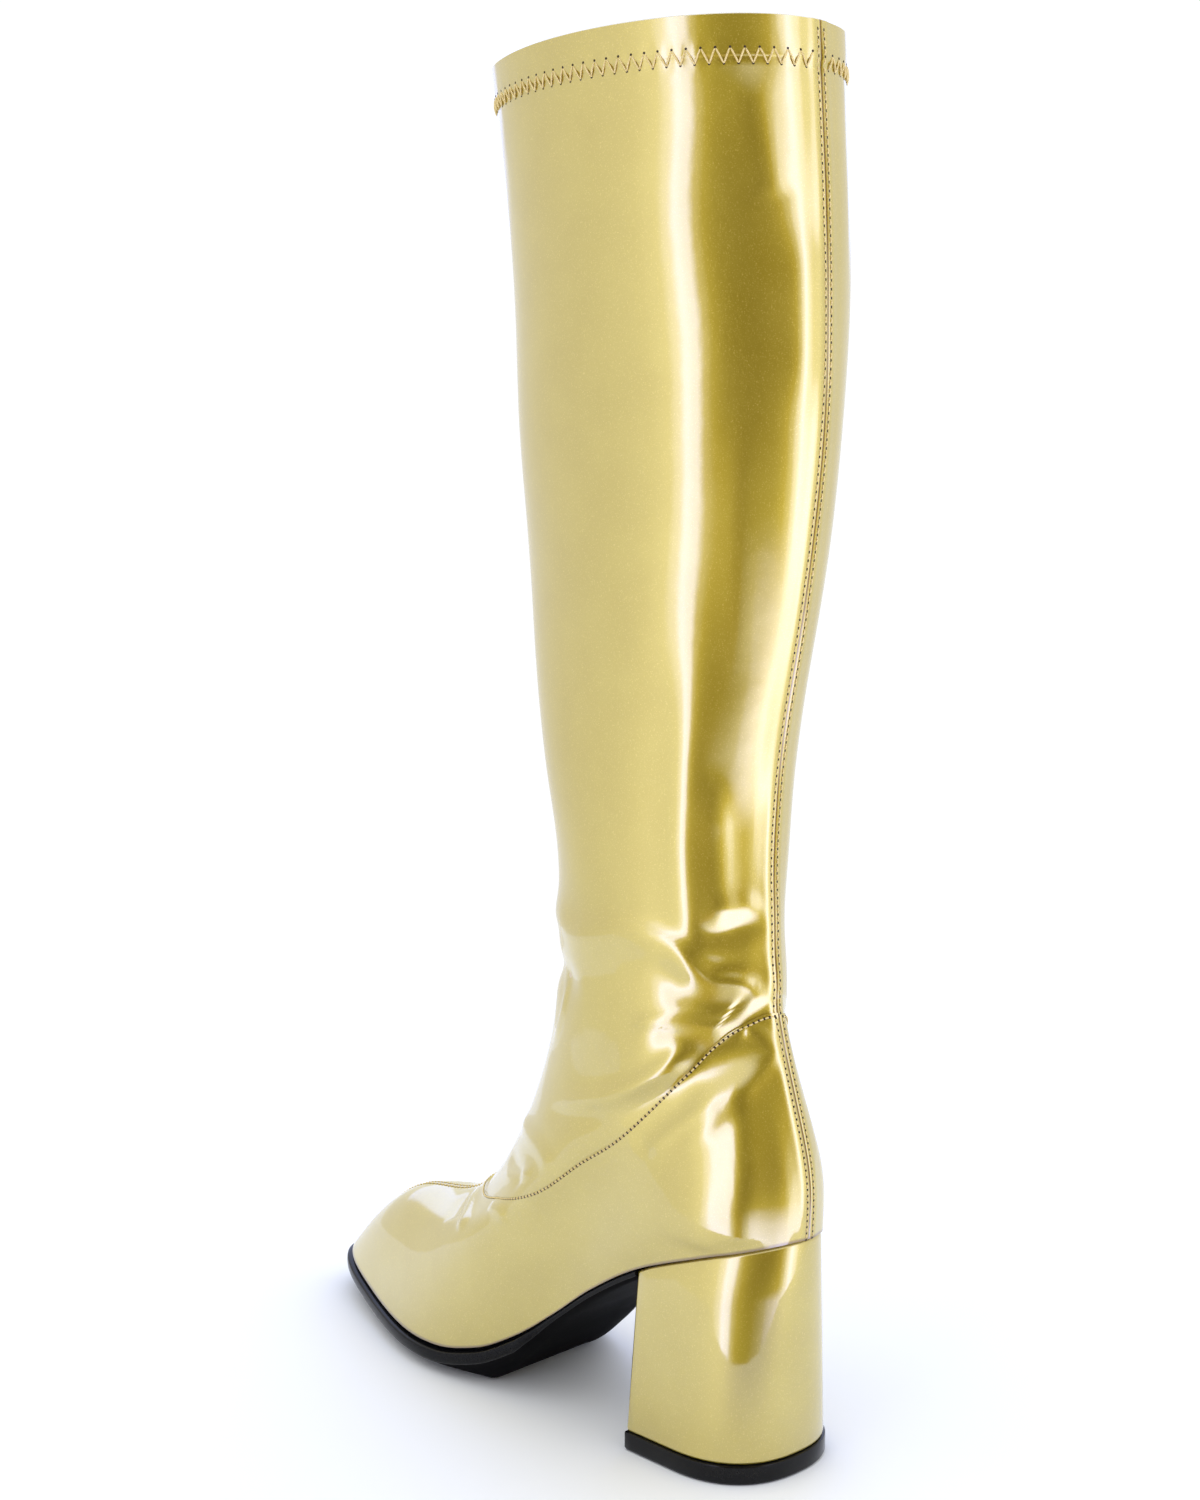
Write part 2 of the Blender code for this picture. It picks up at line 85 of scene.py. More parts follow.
# Sections of the shaft and foot, as in the part
SHAFT_ROWS = (
    # name, reach, width, back, depth, back_rise, front_rise, dip, bottom, half widths
    ("collar", "shaft", "shaft", 0.002, 1.012, 1.000, 0.991, 0.0, 0.0,
     1.03, 1.01, 1.00, 1.00, 1.00, 1.00),
    ("upper_calf", "shaft", "shaft", -0.014, 0.986, 0.793, 0.793, 0.0, 0.0,
     0.93, 0.95, 0.97, 0.96, 0.96, 0.95),
    ("calf", "shaft", "shaft", -0.016, 0.970, 0.570, 0.570, 0.0, 0.0,
     0.83, 0.88, 0.91, 0.90, 0.89, 0.88),
    ("lower_calf", "shaft", "shaft", 0.014, 0.887, 0.337, 0.337, 0.0, 0.0,
     0.70, 0.75, 0.80, 0.79, 0.78, 0.77),
    ("shin", "ankle", "ankle", 0.055, 1.100, 0.133, 0.127, 0.0, 0.0,
     0.93, 0.97, 1.04, 1.08, 1.08, 1.06),
)
FOOT_ROWS = (
    ("ankle", "ankle", "ankle", 0.062, 1.030, 1.000, 0.967, 0.0, 0.0,
     0.72, 0.86, 0.98, 1.02, 0.97, 0.93),
    ("bend", "foot", "ball", 0.058, 0.397, 0.791, 0.673, -0.028, 0.0,
     0.58, 0.74, 0.86, 0.85, 0.78, 0.73),
    ("instep", "foot", "ball", 0.055, 0.466, 0.696, 0.457, -0.052, 0.0,
     0.60, 0.80, 0.90, 0.84, 0.77, 0.72),
    ("seam", "foot", "ball", 0.053, 0.597, 0.617, 0.255, -0.069, 0.05,
     0.64, 0.86, 0.91, 0.88, 0.82, 0.75),
    ("vamp", "foot", "ball", 0.030, 0.727, 0.435, 0.204, -0.067, 0.28,
     0.80, 0.98, 0.82, 0.95, 0.90, 0.88),
    ("toe_box", "foot", "ball", 0.003, 0.836, 0.235, 0.177, -0.067, 0.55,
     1.02, 1.10, 0.75, 1.00, 0.92, 0.93),
    ("toe_cap", "foot", "ball", -0.004, 0.932, 0.104, 0.094, -0.067, 0.82,
     1.14, 1.13, 0.70, 1.03, 0.93, 0.92),
    ("feather", "foot", "ball", -0.002, 1.002, 0.0, 0.0, -0.067, 1.0,
     1.22, 1.08, 0.66, 1.03, 0.88, 0.83),
)
ROWS = SHAFT_ROWS + FOOT_ROWS
SEAM_ROW = len(SHAFT_ROWS) + 3
LAST_ROW = len(ROWS) - 1
WIDTH_STATIONS = (0.0, 0.12, 0.36, 0.64, 0.85, 1.0)
BOTTOM_LINE = (
    # share of the length, share of the heel's height, share of the toe spring
    (0.00, 1.000, 0.00), (0.10, 0.900, 0.00), (0.195, 0.776, 0.00), (0.30, 0.565, 0.00),
    (0.38, 0.360, 0.00), (0.45, 0.190, 0.00), (0.52, 0.070, 0.00), (0.60, 0.010, 0.00),
    (0.68, 0.000, 0.05), (0.80, 0.000, 0.22), (0.90, 0.000, 0.55), (1.00, 0.000, 1.00),
)
CURVE_LINE = ((0.00, 0.00), (0.18, 0.00), (0.34, -0.05), (0.50, 0.01), (0.62, 0.09),
              (0.80, 0.15), (1.00, 0.20))
CURVE_FADE_TOP = 0.150
CURVE_FADE_DEPTH = 0.080
ARCH_START_SHARE = 0.365
ARCH_END_SHARE = 0.52
LEDGE_START_SHARE = 0.412
LEDGE_FULL_SHARE = 0.435
CROWN_START_SHARE = 0.20
CROWN_FULL_SHARE = 0.45
CROWN_TOE_SHARE = 0.75
WAIST_CROWN_RATIO = 0.25
TOE_CROWN_RATIO = 0.45
EDGE_FULL_RATIO = 0.6
EDGE_EASE = 1.5  # how fast the edge deepens towards the inner side
DIP_SPREAD = 0.5  # how far the dip of a section spreads to back and front
HEEL_BACK = -(GROUND_SETBACK + GROUND_DEPTH / 2)
TAU = 2 * math.pi

# Where the foot panel's edge runs, in rows off the seam's own row: angle in degrees
# from the back, rows on the outer side. The inner side follows it more calmly.
SEAM_WANDER = ((0, -0.10), (22, -0.42), (31, -0.55), (39, -0.38), (47, -0.15), (55, 0.06),
               (64, 0.22), (77, 0.18), (86, 0.30), (96, 0.24), (112, -0.02), (130, -0.12),
               (155, -0.16), (180, -0.18))
INNER_WANDER = 0.6
WANDER_REACH = 1.45  # rows over which the wander fades out

# Fineness of the shell
SEAM_LINES = (0.0003, 0.0007, 0.0013, 0.0022, 0.0032, 0.0039, 0.0046, 0.0058)
VAMP_LINES = (0.0004, 0.0009, 0.0016, 0.0026)
FREE_COLUMNS = 236
SIDE_CROWDING_RATIO = 0.35
OUTER_RINGS = 296
FEATHER_RINGS = (0.03, 0.06, 0.10)
INNER_RINGS = 46
HEM_RINGS = (-0.5, 0.0, 0.35, 0.65, 1.0, 1.5)  # in thicknesses of the hem, below its edge
HEM_RING_GAP = 0.004  # other rings keep off these by so many rows
LAP_RINGS = (-0.05, -0.02, 0.02, 0.05)  # in rows off the foot panel's edge
LAP_RING_GAP = 0.055
RIM_STEPS = (0.75, 0.5, 0.25)  # from the lining side to the outer side
RIM_BULGE_RATIO = 0.4
COLUMN_EASE = 4  # how fast the columns crowd in front of the back seam
SMALL_TURN = 0.01  # steps in radians and rows by which directions are measured
FOLD_SAMPLES = 6  # samples a point of a fold's route
FOLD_REACH_RATIO = 3.2  # a fold ends at so many half widths
LINE_POINTS = 400
ROUND_POINTS = 900
SOLE_COLUMNS = 160

# Creases. Each has a height in millimetres, negative for a trough, its half widths in
# millimetres on its upper and lower side, the share of its length that fades at the
# start and at the end, and its points: row and angle in degrees from the back, below
# 180 on the outer side.
CREASES = (
    # name, height, above, below, fade in, fade out, points
    ("ankle_roll", 1.9, 3.6, 8.5, 0.15, 0.2,
     ((5.32, 134), (5.35, 110), (5.34, 91), (5.33, 77), (5.42, 64), (5.55, 55), (5.72, 49),
      (5.95, 41), (6.2, 29), (6.62, 20), (7.4, 14))),
    ("ankle_hollow", -0.7, 5, 6, 0.3, 0.25,
     ((5.62, 70), (5.8, 58), (6, 49), (6.25, 38), (6.6, 27), (7, 20))),
    ("tendon_hollow", -0.6, 5, 4.5, 0.3, 0.3,
     ((5.55, 47), (5.46, 38), (5.44, 26), (5.38, 8))),
    ("tendon_ridge", 0.6, 4.5, 5.5, 0.3, 0.3,
     ((5.4, 44), (5.27, 35), (5.2, 24), (5.1, 12))),
    ("upper_pinch", 0.45, 1.8, 2.8, 0.25, 0.25,
     ((6.15, 72), (6.18, 65), (6.25, 56), (6.36, 48), (6.62, 37), (6.95, 28))),
    ("lower_pinch", 0.45, 1.7, 2.8, 0.25, 0.25,
     ((6.13, 74), (6.16, 69), (6.27, 61), (6.43, 53), (6.66, 44), (7, 35), (7.38, 26))),
    ("pinch_shadow", -0.6, 4, 6, 0.3, 0.3,
     ((6.32, 68), (6.52, 58), (6.78, 48), (7.12, 40), (7.45, 33))),
    ("instep_roll", 1.6, 3.4, 5, 0.3, 0.25,
     ((6.8, 108), (6.93, 90), (7.09, 75), (7.17, 64), (7.18, 57), (7.11, 50), (6.98, 45))),
    ("instep_hollow", -0.9, 3, 5.5, 0.3, 0.3,
     ((7.02, 97), (7.22, 80), (7.4, 68), (7.5, 58), (7.45, 50))),
    ("instep_lens", -0.6, 1.5, 4.5, 0.25, 0.25,
     ((6.82, 118), (6.98, 98), (7.12, 85), (7.28, 74))),
    ("front_bulge", 1.3, 7, 4.5, 0.3, 0.3,
     ((5.26, 175), (5.25, 150), (5.27, 128), (5.3, 105))),
    ("front_hollow", -2, 6, 6, 0.3, 0.3,
     ((5.64, 178), (5.6, 150), (5.66, 122), (5.74, 100))),
    ("front_edge", 0.6, 2.4, 2.4, 0.25, 0.25,
     ((5.6, 135), (5.74, 121), (5.95, 122), (6.2, 134))),
    ("throat_fold", 1, 2.4, 2.8, 0.2, 0.2,
     ((6.98, 165), (7.02, 140), (7.1, 124), (7.27, 109), (7.6, 96), (7.95, 89))),
    ("throat_dent", -1.1, 3, 4, 0.3, 0.3,
     ((7.28, 152), (7.4, 128), (7.62, 112), (7.92, 103))),
    ("throat_step", 0.8, 1.8, 2.2, 0.3, 0.3,
     ((7.43, 140), (7.56, 122), (7.66, 106), (7.8, 100))),
    ("panel_ridge", 0.9, 3.5, 2.4, 0.15, 0.3,
     ((7.72, 23), (8.15, 15), (8.5, 10), (8.7, 9))),
    ("panel_ridge_down", 0.8, 5.5, 3.5, 0.2, 0.3,
     ((8.52, 9), (8.62, 14), (8.72, 21), (8.84, 28), (9, 36), (9.2, 43))),
    ("panel_fold", 0.7, 4.5, 3, 0.3, 0.15,
     ((8.5, 26), (8.68, 34), (8.74, 42), (8.84, 49), (8.95, 53))),
    ("panel_dent", -0.6, 4, 3, 0.3, 0.2,
     ((8.45, 36), (8.55, 44), (8.68, 52), (8.86, 56))),
    ("vamp_ridge", 0.8, 2.4, 3, 0.2, 0.25,
     ((8.05, 118), (8.3, 108), (8.62, 101), (9, 97))),
    ("vamp_fold", 1.1, 3, 2.6, 0.25, 0.3,
     ((8, 172), (8.1, 150), (8.3, 135), (8.62, 124), (8.95, 117), (9.25, 113))),
    ("vamp_dent", -1, 3.5, 3.5, 0.3, 0.3,
     ((8.1, 176), (8.35, 150), (8.7, 134), (9.1, 126))),
    ("top_bulge", 0.7, 6, 6, 0.3, 0.3, ((0.2, 29), (0.5, 29), (0.85, 26), (1, 24))),
    ("calf_bulge", 1, 7, 7, 0.35, 0.35, ((1, 13), (1.35, 11), (1.75, 11), (2.15, 13))),
    ("calf_streak", 0.35, 5, 5, 0.35, 0.35, ((1.9, 34), (2.4, 36), (3, 34), (3.5, 31))),
    ("shaft_bulge", 2, 8.5, 8.5, 0.4, 0.2,
     ((2.8, 50), (3.5, 49), (4.2, 48), (4.7, 49), (5.2, 48), (5.6, 45), (6, 41))),
    ("shaft_edge", 1.3, 5, 5, 0.35, 0.25, ((3.9, 37), (4.4, 36), (5, 36), (5.45, 33))),
    ("counter_bulge", 1.3, 12, 12, 0.25, 0.1,
     ((7.9, 30), (8.4, 32), (9, 34), (9.6, 35), (10.3, 35), (11.2, 35), (11.9, 35))),
    ("counter_edge", 1.3, 5.5, 5.5, 0.25, 0.1,
     ((8.2, 22), (8.7, 24), (9.2, 25), (9.6, 25.5), (10.3, 26), (11.2, 26), (11.9, 26))),
)
# Slow waves of the shaft's skin: height in millimetres, rows a wave, turns round, phase
WAVES = (
    (0.25, 1.7, 3, 0.4),
    (0.10, 1.1, 5, 2.1),
)
WAVE_START_FADE = 0.5
WAVE_END_ROW = 8.0
WAVE_END_FADE = 2.5

# Small forms of the sewn skin
SIDE_BLEND = 0.0016  # over its crest a fold turns from one width to the other
HEM_STEP = 0.0022  # the edge of the folded hem shows over this height
HEM_PUCKER = 0.00022
HEM_PUCKER_REACH = 0.0035
HEM_PUCKER_COUNT = 61
HEM_PUCKER_SWING = 0.4
STRIP_FADE = 0.0045  # the back strip's thickness fades out over this width
VAMP_SEAM_START = SEAM_ROW + SEAM_WANDER[-1][1] + 0.02  # just below the panel's edge
JOINT_DEPTH = 0.00045  # groove where two halves meet, at the back and on the vamp
JOINT_HALF_WIDTH = 0.00040
SEWN_DEPTH = 0.00018
SEWN_HALF_WIDTH = 0.0005
FEATHER_ROWS = 1.5  # rows over the feather edge in which its distance is kept
MEASURE_LIMIT = 0.02

# Stitches
STITCH_RADIUS = 0.00030
HOLE_RADIUS = 0.00058
BACK_ROW_OFFSET = 0.00145  # each stitch row from its seam's joint
BACK_PITCH = 0.0027
COUNTER_PITCH = 0.0021
EDGE_PITCH = 0.0019
EDGE_ROW_OFFSET = 0.0011  # the panel's stitch row, below its edge
ZIGZAG_TOP = 0.0098
ZIGZAG_BOTTOM = 0.0146
ZIGZAG_PERIOD = 0.0045
ZIGZAG_THREAD_RATIO = 1.1
ZIGZAG_HOLE_RATIO = 0.8
ZIGZAG_LIFT_RATIO = 0.4  # the thread bridges the fold's edge at this share of it
STITCH_SHARE = 0.82  # of the pitch
PANEL_BACK = SEAM_ROW + SEAM_WANDER[0][1]  # where the panel's edge meets the back seam
SEAM_STITCHES = {
    # rows where they start and end, whether on the vamp, height over the skin, pitch
    "back": (0.05, PANEL_BACK, False, 0.0, BACK_PITCH),
    "counter": (PANEL_BACK + 0.08, LAST_ROW - 0.02, False, LAP, COUNTER_PITCH),
    "vamp": (VAMP_SEAM_START + 0.12, LAST_ROW - 0.05, True, LAP, COUNTER_PITCH),
}
PANEL_ROW_START = 0.07  # radians from the back seam
PANEL_STEP = 0.05  # rows over which the row's offset is measured
THREAD_SIDES = 6
THREAD_PROFILE = (
    # share of the stitch, thickness, lift over the skin, the last two in thread radii
    (0.0, 0.35, -0.9), (0.14, 0.85, 0.1), (0.5, 1.0, 0.75), (0.86, 0.85, 0.1),
    (1.0, 0.35, -0.9),
)
THREAD_SMOOTH = 80  # edges up to this angle in degrees are shaded smooth
HOLE_SIDES = 8
HOLE_LAYERS = ((1.0, -0.00010), (0.85, 0.00006))  # size, lift over the skin in metres
HOLE_SMOOTH = 30

# Layers of the sole, the heel and the lift, from the top down
TREAD_LAYERS = 7  # rings of the crowned bottom
SOLID_SMOOTH = 50
RAND_SHARE = RAND_HEIGHT / SOLE_EDGE
SIDE_SHARE = 1 - RAND_SHARE
SOLE_LAYERS = (
    # share of the edge's depth, share of the ledge, offset
    (0.0, 0.0, -0.0006),
    (0.03, 0.0, -0.0001),
    (RAND_SHARE - 0.12, 0.0, RAND_INSET * -0.6),
    (RAND_SHARE - 0.05, 0.0, -RAND_INSET),
    (RAND_SHARE - 0.03, 0.4, RAND_INSET * -0.6),
    (RAND_SHARE, 1.0, RAND_INSET * -0.6),
    (RAND_SHARE + SIDE_SHARE * 0.05, 1.0, RAND_INSET * -0.2),
    (RAND_SHARE + SIDE_SHARE * 0.16, 1.0, 0.0),
    (RAND_SHARE + SIDE_SHARE * 0.4, 1.0, 0.0001),
)
BEVEL_RATIO = 0.3
THIN_EDGE_RATIO = 1 / 3  # the bevel takes up no more than this of a thin edge
HEEL_COUNT = 60
HEEL_LAYERS = (
    # share of the way down, inset
    (0.0, 0.0014), (0.004, 0.0009), (0.010, 0.0003), (0.02, 0.0), (0.25, 0.0), (0.5, 0.0),
    (0.75, 0.0), (0.985, 0.0), (0.995, 0.0002), (1.0, 0.0006),
)
BREAST_RADIUS = 0.0011
LIFT_BREAST_RATIO = 0.6
CORNER_RATIO = 0.29  # how far a round corner's middle lies inside a square one's
GROUND_POWER = 2 / 2.35  # 2 over the exponent of the heel's rounded back
GROUND_BACK_SHARE = 0.7  # of the points
LIFT_LAYERS = (
    # ledge, height
    (LIFT_LEDGE - 0.0006, LIFT_HEIGHT),
    (LIFT_LEDGE - 0.0001, LIFT_HEIGHT - 0.0002),
    (LIFT_LEDGE, LIFT_HEIGHT - 0.0006),
    (LIFT_LEDGE, GROUND_BEVEL),
    (LIFT_LEDGE - 0.0003, GROUND_BEVEL * BEVEL_RATIO),
    (LIFT_LEDGE - GROUND_BEVEL, 0.0),
)

# Finishes
GOLD = (0.550, 0.434, 0.048, 1.0)
GOLD_DEEP = (0.520, 0.405, 0.038, 1.0)
GOLD_FLAKE = (0.78, 0.62, 0.13, 1.0)
LINING = (0.62, 0.53, 0.36, 1.0)
LINING_DEEP = (0.50, 0.42, 0.28, 1.0)
# painted shade: dark brown laid into the seam grooves and along the edge over the sole
JOINT_SHADE_BROWN = (0.16, 0.07, 0.012, 1.0)
BLACK_DEEP = (0.0025, 0.0025, 0.003, 1.0)
BLACK = (0.007, 0.007, 0.008, 1.0)
THREAD_LIGHT = (0.86, 0.72, 0.36, 1.0)
THREAD_DEEP = (0.60, 0.45, 0.14, 1.0)
# painted shade of the needle holes: dark caps stand in for their shadow
HOLE_SHADE_DEEP = (0.020, 0.010, 0.002, 1.0)
HOLE_SHADE_PALE = (0.045, 0.024, 0.005, 1.0)
FLOOR_WHITE = (0.86, 0.885, 0.91, 1.0)
FLAKE_SCALE = 2100  # flakes a metre
CLOUD_SCALE = 45
RIPPLE_SCALE = 85
FLAKE_COLOUR = (0.56, 0.72, 0.0, 0.75)  # noise from and to, flakes' share at each
FLAKE_BLUR = (0.3, 0.7, 0.36, 0.46)  # noise from and to, roughness at each
FEATHER_SHADE_REACH = (0.0004, 0.0013)  # painted shade, brown, in the joints, fading between these distances
JOINT_SHADE_REACH = (0.0001, 0.0006)
JOINT_SHADE_SHARE = 0.8
METALLIC = 0.88
COAT_INDEX = 2.35
COAT_BLUR = 0.05
CLOTH_BLUR = 0.9
GRAIN_SPREAD = 0.12  # roughness, from the smooth spots of the black to its rough ones

# Camera, at the photograph's angle
CAMERA_PLACE = (-0.50818, -0.47196, 0.31595)
CAMERA_AZIMUTH = 43.165
CAMERA_DOWN = 6.358
CAMERA_LENS = 50.985
SENSOR_WIDTH = 36.0

# The studio round the shoe, as seen from it: degrees from the toe's direction towards
# the inner side, and brightness. The dim stretch is the warm unlit room behind the camera.
FAR_BANDS = (
    (-88, 1.2), (-75, 1.06), (-50, 0.98), (-15, 0.93), (10, 0.91), (40, 0.91), (80, 0.93),
    (115, 0.98), (140, 1.05), (155, 1.3),
)
STUDIO_BANDS = (
    (-180, 1.9), (-174, 0.75), (-167, 0.28), (-158, 0.13), (-140, 0.1), (-122, 0.11),
    (-115, 0.2), (-110, 0.7), (-105, 2.7), (-99, 3.1), (-94, 1.9), *FAR_BANDS, (163, 2.2),
    (172, 3), (180, 1.9),
)
# The same for directions that point down, where a lit floor narrows the dim stretch.
LOW_BANDS = (
    (-180, 3), (-168, 3.1), (-157, 2.6), (-148, 1.5), (-140, 0.9), (-133, 0.5), (-127, 0.35),
    (-120, 0.35), (-114, 0.6), (-109, 1.2), (-105, 2.6), (-99, 3.1), (-94, 1.8), *FAR_BANDS,
    (168, 2.2), (180, 3),
)
LOW_START = -0.24  # heights of a direction between which one turns into the other
LOW_FULL = -0.48
BAND_PEAK = 5.0
ROOM_BROWN = (1.0, 0.50, 0.04)
ROOM_DIM = 0.3  # bands no brighter than this are fully brown
ROOM_LIT = 0.9  # and from here on they are white
LAMP_BLUE = (0.97, 1.0, 1.45)
LAMP_START = 1.3  # bands brighter than this turn to the lamps' cooler white
LAMP_FULL = 3.0
CEILING_LIGHT = 1.3
CEILING_START = 0.30  # height of a direction where the ceiling starts, 1 straight up
CEILING_FULL = 0.62
LIT_PANEL = (1.30, 1.45, 2.1)  # a cool lit panel beyond the toe, above the horizon
LIT_PANEL_MIDDLE = CAMERA_AZIMUTH  # its direction, in degrees
LIT_PANEL_REACH = (24, 32)  # it fades out between these degrees to each side
LIT_PANEL_ABOVE = (0.10, 0.15)  # and in between these heights
BACKDROP_LIGHT = 1.05

FLOOR_RADIUS = 0.62
FLOOR_SIDES = 96
FLOOR_FRONT = 0.15  # from the heel to the floor's straight front edge
FLOOR_DROP = 0.0001


def smooth_through(places, values, at):
    """Natural cubic curve through a table's rows."""
    places = np.asarray(places, float)
    values = np.asarray(values, float)
    flat = values.ndim == 1
    if flat:
        values = values[:, None]
    count = len(places)
    step = np.diff(places)
    slope = np.diff(values, axis=0) / step[:, None]
    matrix = np.eye(count)
    right = np.zeros_like(values)
    for i in range(1, count - 1):
        matrix[i, i - 1] = step[i - 1]
        matrix[i, i] = 2 * (step[i - 1] + step[i])
        matrix[i, i + 1] = step[i]
        right[i] = 6 * (slope[i] - slope[i - 1])
    bend = np.linalg.solve(matrix, right)
    at = np.asarray(at, float)
    i = np.clip(np.searchsorted(places, at) - 1, 0, count - 2)
    along = (at - places[i])[..., None]
    h = step[i][..., None]
    result = (values[i]
              + along * (slope[i] - h * (2 * bend[i] + bend[i + 1]) / 6)
              + along ** 2 * bend[i] / 2
              + along ** 3 * (bend[i + 1] - bend[i]) / (6 * h))
    return result[..., 0] if flat else result


def even_through(places, values, at):
    """Curve through a table's rows that never swings past a row's value."""
    places = np.asarray(places, float)
    values = np.asarray(values, float)
    step = np.diff(places)
    slope = np.diff(values) / step
    tangent = np.zeros(len(places))
    tangent[0] = slope[0]
    tangent[-1] = slope[-1]
    for i in range(1, len(places) - 1):
        if slope[i - 1] * slope[i] > 0:
            tangent[i] = 2 * slope[i - 1] * slope[i] / (slope[i - 1] + slope[i])
    i = np.clip(np.searchsorted(places, at) - 1, 0, len(places) - 2)
    t = (np.asarray(at, float) - places[i]) / step[i]
    return ((2 * t ** 3 - 3 * t ** 2 + 1) * values[i]
            + (t ** 3 - 2 * t ** 2 + t) * step[i] * tangent[i]
            + (3 * t ** 2 - 2 * t ** 3) * values[i + 1]
            + (t ** 3 - t ** 2) * step[i] * tangent[i + 1])


def ease(t):
    """Turns smoothly from 0 to 1 as t goes from 0 to 1."""
    t = np.clip(t, 0, 1)
    return t * t * (3 - 2 * t)


def eased_edge(inward, width):
    """1 inside an edge and 0 outside it, turning over a width."""
    return ease(inward / width + 0.5)


def between(value, start, full):
    """Turns from 0 to 1 as a value goes from a start to a full one."""
    return ease((value - start) / (full - start))


def unit(vectors):
    """The same directions, one long."""
    return vectors / np.linalg.norm(vectors, axis=-1, keepdims=True)


def groove(distance, depth, half_width):
    """Relief of a rounded groove at a distance from its middle."""
    return -depth * np.exp(-(distance / half_width) ** 2)


def spring_height(share):
    """Height of the sole's ground face under a share of the foot's length."""
    table = np.array(BOTTOM_LINE)
    return TOE_SPRING * even_through(table[:, 0], table[:, 2], np.clip(share, 0, 1))


def feather_height(share):
    """Height of the edge where upper and sole meet."""
    table = np.array(BOTTOM_LINE)
    rise = even_through(table[:, 0], table[:, 1], np.clip(share, 0, 1))
    return SOLE_HEIGHT + (HEEL_HEIGHT - SOLE_HEIGHT) * rise + spring_height(share)


def row_sizes():
    """The table of sections in metres: back, front, heights, dip, widths."""
    reach = {"shaft": SHAFT_DEPTH, "ankle": ANKLE_DEPTH, "foot": FOOT_LENGTH}
    width = {"shaft": SHAFT_WIDTH / 2, "ankle": ANKLE_WIDTH / 2, "ball": BALL_WIDTH / 2}
    toe_height = float(feather_height(1.0))
    sizes = []
    for row in ROWS:
        reach_name, width_name = row[1:3]
        back, depth, back_rise, front_rise, dip, bottom = row[3:9]
        y_back = back * FOOT_LENGTH
        y_front = y_back + depth * reach[reach_name]
        if row in SHAFT_ROWS:
            z_back = ANKLE_HEIGHT + back_rise * (BOOT_HEIGHT - ANKLE_HEIGHT)
            z_front = ANKLE_HEIGHT + front_rise * (BOOT_HEIGHT - ANKLE_HEIGHT)
        else:
            z_back = HEEL_HEIGHT + back_rise * (ANKLE_HEIGHT - HEEL_HEIGHT)
            z_front = toe_height + front_rise * (ANKLE_HEIGHT - toe_height)
        widths = [share * width[width_name] for share in row[9:]]
        sizes.append([y_back, z_back, y_front, z_front, dip * FOOT_LENGTH, bottom] + widths)
    return np.array(sizes)


SIZES = row_sizes()
BACK_STEPS = np.hypot(*np.diff(SIZES[:, 0:2], axis=0).T)
FRONT_STEPS = np.hypot(*np.diff(SIZES[:, 2:4], axis=0).T)
TRAVEL = np.concatenate([[0], np.cumsum((BACK_STEPS + FRONT_STEPS) / 2)])
COLLAR_STEP = SIZES[0, 1] - SIZES[1, 1]
SEAT_HEIGHT = float(feather_height(HEEL_DEPTH / FOOT_LENGTH))


def sections_at(rows):
    """Sizes of the sections at fractional places in the table."""
    return smooth_through(TRAVEL, SIZES, np.interp(rows, np.arange(len(SIZES)), TRAVEL))


def base_surface(rows, angles):
    """Outer form of the shaft and foot. Angle 0 is the back, pi the front."""
    rows, angles = np.broadcast_arrays(np.asarray(rows, float), np.asarray(angles, float))
    sizes = sections_at(rows)
    y_back, z_back, y_front, z_front, dip, bottom = np.moveaxis(sizes[..., :6], -1, 0)
    share = (1 - np.cos(angles)) / 2
    y = y_back + (y_front - y_back) * share
    middle = 4 * share * (1 - share)
    hang = middle * (1 + DIP_SPREAD * (1 - middle))
    straight = feather_height(0) + (feather_height(1) - feather_height(0)) * share
    z = (z_back + (z_front - z_back) * share + (1 - bottom) * dip * hang
         + bottom * (feather_height(share) - straight))
    station_weights = smooth_through(WIDTH_STATIONS, np.eye(len(WIDTH_STATIONS)), share)
    half = (sizes[..., 6:] * station_weights).sum(-1)
    curve = np.array(CURVE_LINE)
    side = smooth_through(curve[:, 0], curve[:, 1], np.clip(y / FOOT_LENGTH, 0, 1))
    fade = ease((CURVE_FADE_TOP - z) / CURVE_FADE_DEPTH)
    x = side * BALL_WIDTH / 2 * fade - half * np.sin(angles)
    return np.stack([x, y + HEEL_BACK, z], -1)


def round_step(rows, angles):
    """A small step round the outer form."""
    return base_surface(rows, angles + SMALL_TURN) - base_surface(rows, angles - SMALL_TURN)


def surface_frame(rows, angles):
    """Places, outward normals and downward directions on the outer form."""
    low = np.clip(rows - SMALL_TURN, 0, LAST_ROW)
    high = np.clip(rows + SMALL_TURN, 0, LAST_ROW)
    down = base_surface(high, angles) - base_surface(low, angles)
    around = round_step(rows, angles)
    return base_surface(rows, angles), unit(np.cross(around, down)), unit(down)


def seam_shift(angles):
    """Rows between the seam's own row and the real edge of the foot panel."""
    table = np.array(SEAM_WANDER)
    turn = np.mod(angles, TAU)
    folded = np.degrees(np.minimum(turn, TAU - turn))
    shift = smooth_through(table[:, 0], table[:, 1], folded)
    calmer = shift * INNER_WANDER + table[-1, 1] * (1 - INNER_WANDER) * ease(folded / 180)
    return np.where(turn > math.pi, calmer, shift)


